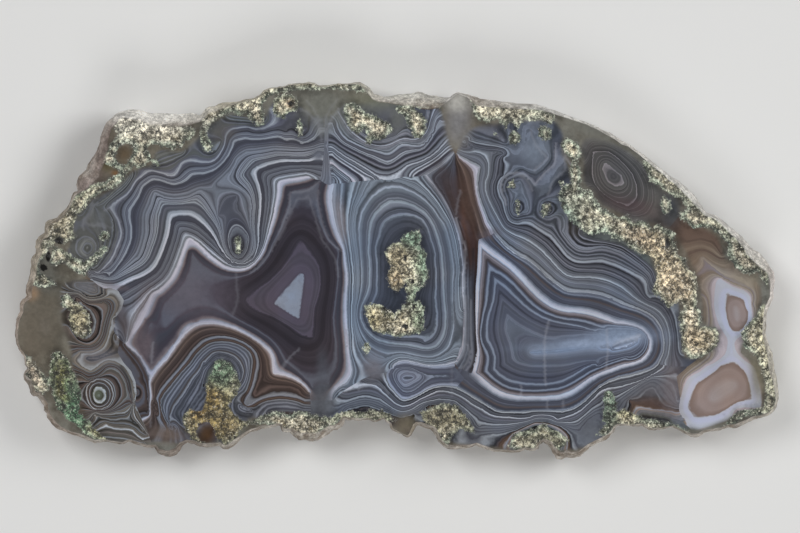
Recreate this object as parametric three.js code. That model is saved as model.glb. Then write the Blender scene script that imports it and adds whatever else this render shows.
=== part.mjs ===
import * as THREE from "three";

// A polished slice of banded agate, millimetres, +Z up.
// It lies flat on its sawn back (z = 0); the polished face is on top (z = THICKNESS).
// The origin is on the back, at the middle of the slice's footprint.
// One stone, one solid: a closed wall of levels between two flat sawn faces.

const THICKNESS = 9.0; // between the sawn back and the polished face
const BACK_INSET = 0.5; // how far the back's edge lies inside the widest outline
const BACK_WOBBLE = 0.2; // unevenness of that inset along the rim
const BACK_REACH = 2; // rim points to each side that set its direction
const MID_LOW = 1.7; // levels of the rough natural rim
const MID_WIDEST = 4.0;
const MID_HIGH = 6.3;
const SHOULDER = 8.0;

// The rim, counter-clockwise seen from above: x, y, and the width of the rough
// shoulder that falls away from the polished face there.
const RIM = [
  [-18.46, 31.66, 0.27], [-19.13, 31.38, 0.27], [-21.52, 31.13, 0.29], [-22.88, 30.48, 0.31], [-23.45, 29.7, 0.29],
  [-24.07, 29.34, 0.27], [-27.3, 28.58, 0.31], [-30.36, 28.41, 1.11], [-31.21, 28, 1.15], [-31.89, 27.92, 1.19],
  [-32.56, 27.61, 1.15], [-33.19, 26.81, 1.11], [-33.76, 26.45, 1.37], [-35.12, 26.9, 2.21], [-37.33, 26.47, 2.31],
  [-39.03, 26.74, 2.38], [-42.26, 26.79, 2.38], [-43.79, 27.25, 2.12], [-45.31, 27.27, 1.87], [-47.02, 26.91, 1.05],
  [-47.87, 26.52, 1.19], [-49.57, 25.11, 1.53], [-50.64, 22.73, 1.91], [-50.7, 21.88, 2.04], [-51.4, 20.01, 2.38],
  [-52.69, 18.14, 2.74], [-53.14, 17.19, 2.89], [-54.14, 16.1, 2.89], [-54.56, 15.26, 2.5], [-54.72, 14.57, 2.22],
  [-54.31, 13.55, 0.53], [-55.07, 13.04, 0.59], [-56.33, 10.67, 0.68], [-57.22, 9.6, 0.78], [-57.93, 8.96, 0.85],
  [-59.43, 8.53, 1.09], [-59.88, 8.12, 1.19], [-60.07, 7.44, 1.06], [-59.97, 6.42, 0.87], [-60.26, 6.08, 0.91],
  [-61.13, 5.59, 1.08], [-61.5, 5.05, 1.19], [-61.67, 4.04, 1.3], [-61.55, 3.52, 1.36], [-61.7, 2.85, 1.36],
  [-62.09, 2.33, 1.36], [-62.4, 1.15, 1.36], [-62.55, -0.56, 1.36], [-63.2, -2.59, 1.36], [-63.27, -3.44, 1.28],
  [-63.13, -4.29, 1.19], [-63.34, -4.62, 1.12], [-63.91, -4.97, 0.99], [-64.24, -5.66, 0.85], [-64.19, -7.01, 0.68],
  [-64.8, -8.38, 0.68], [-65.15, -10.58, 0.68], [-64.97, -12.46, 0.68], [-64.42, -13.64, 0.56], [-64.02, -13.98, 0.51],
  [-63.51, -14.83, 0.51], [-63.27, -16.03, 0.31], [-62.83, -16.71, 0.31], [-62.83, -16.91, 0.31], [-63.4, -17.39, 0.31],
  [-63.56, -17.73, 0.31], [-63.44, -18.58, 1.02], [-63, -19.19, 1.02], [-62.28, -21.12, 1.02], [-61.98, -21.35, 0.97],
  [-61.3, -21.32, 0.88], [-61.13, -21.44, 0.85], [-60.05, -23, 0.85], [-60.05, -23.85, 0.85], [-59.68, -24.36, 0.85],
  [-59.58, -25.04, 0.85], [-58.25, -26.57, 0.74], [-57.39, -27.18, 0.68], [-55.52, -27.98, 0.58], [-54.16, -28.24, 0.51],
  [-51.44, -29.32, 0.51], [-49.91, -29.09, 0.42], [-46.68, -29.58, 0.37], [-45.66, -29.09, 0.35], [-45.31, -29.09, 0.34],
  [-42.6, -30.11, 0.46], [-41.24, -30.12, 0.51], [-40.73, -31.02, 0.74], [-39.54, -31.59, 1.02], [-38.69, -31.6, 1.02],
  [-37.67, -31.19, 1.02], [-37.19, -30.82, 0.88], [-36.65, -29.77, 0.59], [-35.63, -29.26, 0.51], [-34.44, -29.43, 0.51],
  [-33.59, -29.9, 0.51], [-30.19, -29.92, 0.68], [-29.51, -30.53, 1.02], [-28.83, -30.55, 0.95], [-27.98, -30, 0.85],
  [-25.77, -28.07, 0.51], [-24.75, -27.39, 0.47], [-23.73, -27.15, 0.44], [-23.22, -26.86, 0.43], [-21.18, -26.67, 0.43],
  [-20.16, -26.4, 0.43], [-19.8, -26.4, 0.43], [-19.71, -27.08, 0.54], [-19.47, -27.39, 0.61], [-18.12, -27.54, 0.84],
  [-17.91, -27.93, 0.96], [-16.76, -28.88, 1.36], [-15.4, -28.9, 1.43], [-14.89, -29.09, 1.46], [-13.53, -29.04, 1.53],
  [-12.51, -28.54, 1.41], [-10.98, -27.34, 1.19], [-10.21, -27.08, 1.03], [-9.48, -26.57, 0.85], [-8.99, -25.38, 0.56],
  [-8.77, -25.3, 0.51], [-8.26, -25.5, 0.51], [-7.41, -25.48, 0.51], [-7.07, -25.65, 0.51], [-5.03, -25.52, 0.51],
  [-3.84, -26.01, 0.47], [-2.31, -25.45, 0.43], [-1.25, -26.23, 0.38], [-1.05, -26.91, 0.36], [-0.74, -27.25, 0.34],
  [1.61, -28.41, 0.34], [1.95, -28.37, 0.34], [2.29, -28.07, 0.34], [3.14, -26.54, 0.55], [3.48, -26.33, 0.6],
  [4.07, -26.4, 0.61], [5.01, -26.84, 0.64], [5.86, -26.98, 0.66], [6.23, -27.42, 0.68], [7.18, -29.29, 0.68],
  [7.9, -29.99, 0.68], [8.41, -30.23, 0.68], [9.26, -30.38, 0.68], [10.28, -30.34, 0.64], [12.32, -30.19, 0.56],
  [13.51, -29.82, 0.51], [16.57, -30.92, 0.51], [20.14, -31.11, 0.51], [21.84, -30.57, 0.55], [22.69, -30.77, 0.57],
  [23.54, -30.75, 0.59], [23.94, -30.31, 0.57], [24.22, -29.7, 0.55], [24.9, -29.04, 0.51], [25.92, -29.72, 0.69],
  [26.26, -30.48, 0.85], [27.28, -31.89, 1.19], [27.96, -32.01, 1.19], [28.81, -31.67, 1.19], [30, -31.93, 1.19],
  [31.19, -31.59, 0.87], [32.72, -30.11, 0.6], [36.11, -28.34, 0.6], [36.9, -27.42, 0.49], [37.14, -26.79, 0.43],
  [37.65, -26.52, 0.42], [38.67, -26.47, 0.4], [39.52, -26.64, 0.38], [41.73, -26.33, 0.34], [42.75, -26.98, 0.34],
  [43.6, -27.2, 0.34], [44.28, -27.06, 0.34], [44.79, -27.18, 0.34], [46.83, -26.71, 0.34], [50.06, -28.22, 0.51],
  [51.08, -28.22, 0.51], [52.27, -27.61, 0.47], [54.14, -27.23, 0.43], [55.16, -27.18, 0.5], [56.52, -26.76, 0.6],
  [57.71, -26.81, 0.68], [60.77, -25.33, 0.56], [61.96, -25.12, 0.51], [63.49, -24.56, 0.51], [64.27, -23.85, 0.52],
  [64.59, -23.34, 0.57], [65.02, -22.15, 0.68], [65.15, -21.12, 0.88], [64.76, -18.41, 1.02], [64.11, -16.71, 1],
  [63.76, -14.15, 0.85], [62.64, -10.76, 0.6], [62.79, -7.53, 0.51], [63.13, -6.5, 0.68], [64.1, -4.63, 0.76],
  [64.3, -1.74, 0.96], [64.1, -0.39, 1.17], [62.72, 1.66, 1.87], [61.96, 2.5, 1.77], [61.28, 3.08, 1.68],
  [60.09, 3.71, 1.22], [59.58, 4.54, 1.02], [58.39, 5.83, 1.02], [55.5, 8.38, 0.78], [54.31, 9.23, 0.68],
  [52.78, 9.79, 0.76], [50.65, 12.71, 1.19], [48.02, 15.19, 1], [46.57, 15.94, 0.79], [45.94, 16.61, 0.68],
  [44.28, 17.8, 0.65], [41.56, 20.06, 0.59], [39.52, 21.46, 0.54], [38.33, 21.9, 0.51], [37.31, 22.66, 0.51],
  [34.25, 24.35, 0.51], [31.87, 25.38, 0.51], [25.58, 27.59, 0.69], [23.71, 28.1, 0.85], [19.79, 28.46, 1.06],
  [19.29, 28.63, 1.13], [16.06, 28.85, 1.19], [13.68, 29.33, 1.47], [12.15, 29.94, 0.66], [10.45, 30.31, 0.31],
  [10.11, 30.28, 0.31], [9.09, 29.48, 0.44], [7.22, 29.51, 1.93], [5.52, 29.85, 2.56], [4.16, 30.45, 3.05],
  [3.65, 30.53, 2.89], [2.63, 30.18, 2.54], [-1.46, 29.48, 1.06], [-2.99, 29.65, 1.1], [-4.01, 30.01, 1.02],
  [-4.69, 30.96, 0.91], [-5.88, 31.66, 0.56], [-6.56, 31.86, 0.31], [-10.13, 31.89, 0.29], [-11.66, 31.45, 0.28],
  [-12.85, 31.4, 0.27], [-13.36, 31.43, 0.27], [-14.04, 31.84, 0.27], [-14.89, 32, 0.27], [-16.57, 31.91, 0.27],
];

// Each level: height, share of the shoulder width, share of the back inset.
const LEVELS = [
  { z: 0, shoulder: 0.0, back: 1.0 },
  { z: MID_LOW, shoulder: 0.0, back: 0.3 },
  { z: MID_WIDEST, shoulder: 0.0, back: 0.0 },
  { z: MID_HIGH, shoulder: 0.1, back: 0.0 },
  { z: SHOULDER, shoulder: 0.5, back: 0.0 },
  { z: THICKNESS, shoulder: 1.0, back: 0.0 },
];

const COUNT = RIM.length;

// Unit vector into the stone at a rim point, from the chord between its
// neighbours; the wider the shoulder, the longer the chord, so that a wide
// shoulder stays smooth round a tight bend.
function inward(i, reach) {
  const a = RIM[(i - reach + COUNT) % COUNT];
  const b = RIM[(i + reach) % COUNT];
  const dx = b[0] - a[0];
  const dy = b[1] - a[1];
  const length = Math.hypot(dx, dy);
  return [-dy / length, dx / length];
}

function level({ z, shoulder, back }) {
  return RIM.map(([x, y, width], i) => {
    const [nx, ny] = inward(i, 1 + Math.floor(width / 0.51));
    const [mx, my] = inward(i, BACK_REACH);
    const wobble = BACK_WOBBLE * Math.sin(i * 0.37) * Math.sin(i * 0.11 + 1.3);
    const inset = width * shoulder;
    const under = (BACK_INSET + wobble) * back;
    return new THREE.Vector3(
      x + nx * inset + mx * under,
      y + ny * inset + my * under,
      z,
    );
  });
}

// A closed body from the levels: bands of quads, and a flat cap at each end.
function stack(levels) {
  const rings = levels.map(level);
  const positions = rings.flat().flatMap((p) => [p.x, p.y, p.z]);
  const index = [];
  for (let k = 0; k + 1 < rings.length; k++) {
    for (let i = 0; i < COUNT; i++) {
      const j = (i + 1) % COUNT;
      const a = k * COUNT + i;
      const b = k * COUNT + j;
      const c = (k + 1) * COUNT + j;
      const d = (k + 1) * COUNT + i;
      if ((i + k) % 2) index.push(a, b, c, a, c, d);
      else index.push(a, b, d, b, c, d);
    }
  }
  const cap = (ring, first, up) => {
    const flat = ring.map((p) => new THREE.Vector2(p.x, p.y));
    for (const [a, b, c] of THREE.ShapeUtils.triangulateShape(flat, [])) {
      if (up) index.push(first + a, first + b, first + c);
      else index.push(first + c, first + b, first + a);
    }
  };
  cap(rings[0], 0, false);
  cap(rings[rings.length - 1], (rings.length - 1) * COUNT, true);
  const geometry = new THREE.BufferGeometry();
  geometry.setAttribute(
    "position",
    new THREE.Float32BufferAttribute(positions, 3),
  );
  geometry.setIndex(index);
  geometry.computeVertexNormals();
  return geometry;
}

const agate = new THREE.Mesh(
  stack(LEVELS),
  new THREE.MeshStandardMaterial({
    color: 0x85838f, // grey-violet chalcedony
    roughness: 0.18,
    metalness: 0,
  }),
);
agate.name = "agate_slice";

const part = new THREE.Group();
part.add(agate);

export default part;
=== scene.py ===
import math

import bpy
import numpy as np
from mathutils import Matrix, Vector, geometry


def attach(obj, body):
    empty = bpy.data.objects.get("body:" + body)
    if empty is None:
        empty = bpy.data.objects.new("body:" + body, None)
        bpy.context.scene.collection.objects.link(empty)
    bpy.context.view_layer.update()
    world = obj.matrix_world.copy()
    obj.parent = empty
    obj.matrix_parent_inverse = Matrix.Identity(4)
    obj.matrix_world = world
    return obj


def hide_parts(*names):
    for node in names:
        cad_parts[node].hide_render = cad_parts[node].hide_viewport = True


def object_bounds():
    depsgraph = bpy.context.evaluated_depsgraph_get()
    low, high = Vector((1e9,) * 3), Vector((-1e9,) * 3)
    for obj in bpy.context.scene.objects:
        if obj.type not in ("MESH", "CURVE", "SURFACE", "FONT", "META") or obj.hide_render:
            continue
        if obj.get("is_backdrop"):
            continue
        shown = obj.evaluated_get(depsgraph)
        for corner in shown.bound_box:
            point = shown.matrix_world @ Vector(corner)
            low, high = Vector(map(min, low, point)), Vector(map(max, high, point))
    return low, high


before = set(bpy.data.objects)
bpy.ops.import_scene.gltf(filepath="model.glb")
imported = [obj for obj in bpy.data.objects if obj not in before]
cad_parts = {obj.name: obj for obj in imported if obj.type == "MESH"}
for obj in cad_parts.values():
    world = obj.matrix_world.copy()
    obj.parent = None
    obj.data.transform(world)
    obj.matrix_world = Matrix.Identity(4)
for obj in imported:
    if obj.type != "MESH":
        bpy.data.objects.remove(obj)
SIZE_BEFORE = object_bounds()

# A polished slice of banded agate, looked down on.
# The banding is worked out from a few named lines: each line is a place where
# one band of the stone runs, and between two lines the bands follow evenly.
# Drawing units are "units" of 0.17 mm, x to the right and y down; the stone's
# own frame is metres, z up, with the sawn back at z = 0.

UNIT = 0.17e-3
MID = (396.559, 269.735)
TOP = 9.0e-3
EDGE = 2.25      # length of a triangle's side on the polished face, units
RINGS = 22       # levels down the rough rim
AROUND = 5       # steps along each rim segment


def pairs(text):
    """"x,y x,y" to a list of points."""
    return [tuple(float(v) for v in p.split(",")) for p in text.split()]

# The rim, as in the solid part: x, y and shoulder width, millimetres.
RIM = [
    (-18.46, 31.66, 0.27), (-19.13, 31.38, 0.27), (-21.52, 31.13, 0.29), (-22.88, 30.48, 0.31), (-23.45, 29.7, 0.29), (-24.07, 29.34, 0.27),
    (-27.3, 28.58, 0.31), (-30.36, 28.41, 1.11), (-31.21, 28, 1.15), (-31.89, 27.92, 1.19), (-32.56, 27.61, 1.15), (-33.19, 26.81, 1.11),
    (-33.76, 26.45, 1.37), (-35.12, 26.9, 2.21), (-37.33, 26.47, 2.31), (-39.03, 26.74, 2.38), (-42.26, 26.79, 2.38), (-43.79, 27.25, 2.12),
    (-45.31, 27.27, 1.87), (-47.02, 26.91, 1.05), (-47.87, 26.52, 1.19), (-49.57, 25.11, 1.53), (-50.64, 22.73, 1.91), (-50.7, 21.88, 2.04),
    (-51.4, 20.01, 2.38), (-52.69, 18.14, 2.74), (-53.14, 17.19, 2.89), (-54.14, 16.1, 2.89), (-54.56, 15.26, 2.5), (-54.72, 14.57, 2.22),
    (-54.31, 13.55, 0.53), (-55.07, 13.04, 0.59), (-56.33, 10.67, 0.68), (-57.22, 9.6, 0.78), (-57.93, 8.96, 0.85), (-59.43, 8.53, 1.09),
    (-59.88, 8.12, 1.19), (-60.07, 7.44, 1.06), (-59.97, 6.42, 0.87), (-60.26, 6.08, 0.91), (-61.13, 5.59, 1.08), (-61.5, 5.05, 1.19),
    (-61.67, 4.04, 1.3), (-61.55, 3.52, 1.36), (-61.7, 2.85, 1.36), (-62.09, 2.33, 1.36), (-62.4, 1.15, 1.36), (-62.55, -0.56, 1.36),
    (-63.2, -2.59, 1.36), (-63.27, -3.44, 1.28), (-63.13, -4.29, 1.19), (-63.34, -4.62, 1.12), (-63.91, -4.97, 0.99), (-64.24, -5.66, 0.85),
    (-64.19, -7.01, 0.68), (-64.8, -8.38, 0.68), (-65.15, -10.58, 0.68), (-64.97, -12.46, 0.68), (-64.42, -13.64, 0.56), (-64.02, -13.98, 0.51),
    (-63.51, -14.83, 0.51), (-63.27, -16.03, 0.31), (-62.83, -16.71, 0.31), (-62.83, -16.91, 0.31), (-63.4, -17.39, 0.31), (-63.56, -17.73, 0.31),
    (-63.44, -18.58, 1.02), (-63, -19.19, 1.02), (-62.28, -21.12, 1.02), (-61.98, -21.35, 0.97), (-61.3, -21.32, 0.88), (-61.13, -21.44, 0.85),
    (-60.05, -23, 0.85), (-60.05, -23.85, 0.85), (-59.68, -24.36, 0.85), (-59.58, -25.04, 0.85), (-58.25, -26.57, 0.74), (-57.39, -27.18, 0.68),
    (-55.52, -27.98, 0.58), (-54.16, -28.24, 0.51), (-51.44, -29.32, 0.51), (-49.91, -29.09, 0.42), (-46.68, -29.58, 0.37), (-45.66, -29.09, 0.35),
    (-45.31, -29.09, 0.34), (-42.6, -30.11, 0.46), (-41.24, -30.12, 0.51), (-40.73, -31.02, 0.74), (-39.54, -31.59, 1.02), (-38.69, -31.6, 1.02),
    (-37.67, -31.19, 1.02), (-37.19, -30.82, 0.88), (-36.65, -29.77, 0.59), (-35.63, -29.26, 0.51), (-34.44, -29.43, 0.51), (-33.59, -29.9, 0.51),
    (-30.19, -29.92, 0.68), (-29.51, -30.53, 1.02), (-28.83, -30.55, 0.95), (-27.98, -30, 0.85), (-25.77, -28.07, 0.51), (-24.75, -27.39, 0.47),
    (-23.73, -27.15, 0.44), (-23.22, -26.86, 0.43), (-21.18, -26.67, 0.43), (-20.16, -26.4, 0.43), (-19.8, -26.4, 0.43), (-19.71, -27.08, 0.54),
    (-19.47, -27.39, 0.61), (-18.12, -27.54, 0.84), (-17.91, -27.93, 0.96), (-16.76, -28.88, 1.36), (-15.4, -28.9, 1.43), (-14.89, -29.09, 1.46),
    (-13.53, -29.04, 1.53), (-12.51, -28.54, 1.41), (-10.98, -27.34, 1.19), (-10.21, -27.08, 1.03), (-9.48, -26.57, 0.85), (-8.99, -25.38, 0.56),
    (-8.77, -25.3, 0.51), (-8.26, -25.5, 0.51), (-7.41, -25.48, 0.51), (-7.07, -25.65, 0.51), (-5.03, -25.52, 0.51), (-3.84, -26.01, 0.47),
    (-2.31, -25.45, 0.43), (-1.25, -26.23, 0.38), (-1.05, -26.91, 0.36), (-0.74, -27.25, 0.34), (1.61, -28.41, 0.34), (1.95, -28.37, 0.34),
    (2.29, -28.07, 0.34), (3.14, -26.54, 0.55), (3.48, -26.33, 0.6), (4.07, -26.4, 0.61), (5.01, -26.84, 0.64), (5.86, -26.98, 0.66),
    (6.23, -27.42, 0.68), (7.18, -29.29, 0.68), (7.9, -29.99, 0.68), (8.41, -30.23, 0.68), (9.26, -30.38, 0.68), (10.28, -30.34, 0.64),
    (12.32, -30.19, 0.56), (13.51, -29.82, 0.51), (16.57, -30.92, 0.51), (20.14, -31.11, 0.51), (21.84, -30.57, 0.55), (22.69, -30.77, 0.57),
    (23.54, -30.75, 0.59), (23.94, -30.31, 0.57), (24.22, -29.7, 0.55), (24.9, -29.04, 0.51), (25.92, -29.72, 0.69), (26.26, -30.48, 0.85),
    (27.28, -31.89, 1.19), (27.96, -32.01, 1.19), (28.81, -31.67, 1.19), (30, -31.93, 1.19), (31.19, -31.59, 0.87), (32.72, -30.11, 0.6),
    (36.11, -28.34, 0.6), (36.9, -27.42, 0.49), (37.14, -26.79, 0.43), (37.65, -26.52, 0.42), (38.67, -26.47, 0.4), (39.52, -26.64, 0.38),
    (41.73, -26.33, 0.34), (42.75, -26.98, 0.34), (43.6, -27.2, 0.34), (44.28, -27.06, 0.34), (44.79, -27.18, 0.34), (46.83, -26.71, 0.34),
    (50.06, -28.22, 0.51), (51.08, -28.22, 0.51), (52.27, -27.61, 0.47), (54.14, -27.23, 0.43), (55.16, -27.18, 0.5), (56.52, -26.76, 0.6),
    (57.71, -26.81, 0.68), (60.77, -25.33, 0.56), (61.96, -25.12, 0.51), (63.49, -24.56, 0.51), (64.27, -23.85, 0.52), (64.59, -23.34, 0.57),
    (65.02, -22.15, 0.68), (65.15, -21.12, 0.88), (64.76, -18.41, 1.02), (64.11, -16.71, 1), (63.76, -14.15, 0.85), (62.64, -10.76, 0.6),
    (62.79, -7.53, 0.51), (63.13, -6.5, 0.68), (64.1, -4.63, 0.76), (64.3, -1.74, 0.96), (64.1, -0.39, 1.17), (62.72, 1.66, 1.87),
    (61.96, 2.5, 1.77), (61.28, 3.08, 1.68), (60.09, 3.71, 1.22), (59.58, 4.54, 1.02), (58.39, 5.83, 1.02), (55.5, 8.38, 0.78),
    (54.31, 9.23, 0.68), (52.78, 9.79, 0.76), (50.65, 12.71, 1.19), (48.02, 15.19, 1), (46.57, 15.94, 0.79), (45.94, 16.61, 0.68),
    (44.28, 17.8, 0.65), (41.56, 20.06, 0.59), (39.52, 21.46, 0.54), (38.33, 21.9, 0.51), (37.31, 22.66, 0.51), (34.25, 24.35, 0.51),
    (31.87, 25.38, 0.51), (25.58, 27.59, 0.69), (23.71, 28.1, 0.85), (19.79, 28.46, 1.06), (19.29, 28.63, 1.13), (16.06, 28.85, 1.19),
    (13.68, 29.33, 1.47), (12.15, 29.94, 0.66), (10.45, 30.31, 0.31), (10.11, 30.28, 0.31), (9.09, 29.48, 0.44), (7.22, 29.51, 1.93),
    (5.52, 29.85, 2.56), (4.16, 30.45, 3.05), (3.65, 30.53, 2.89), (2.63, 30.18, 2.54), (-1.46, 29.48, 1.06), (-2.99, 29.65, 1.1),
    (-4.01, 30.01, 1.02), (-4.69, 30.96, 0.91), (-5.88, 31.66, 0.56), (-6.56, 31.86, 0.31), (-10.13, 31.89, 0.29), (-11.66, 31.45, 0.28),
    (-12.85, 31.4, 0.27), (-13.36, 31.43, 0.27), (-14.04, 31.84, 0.27), (-14.89, 32, 0.27), (-16.57, 31.91, 0.27),
]

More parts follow.
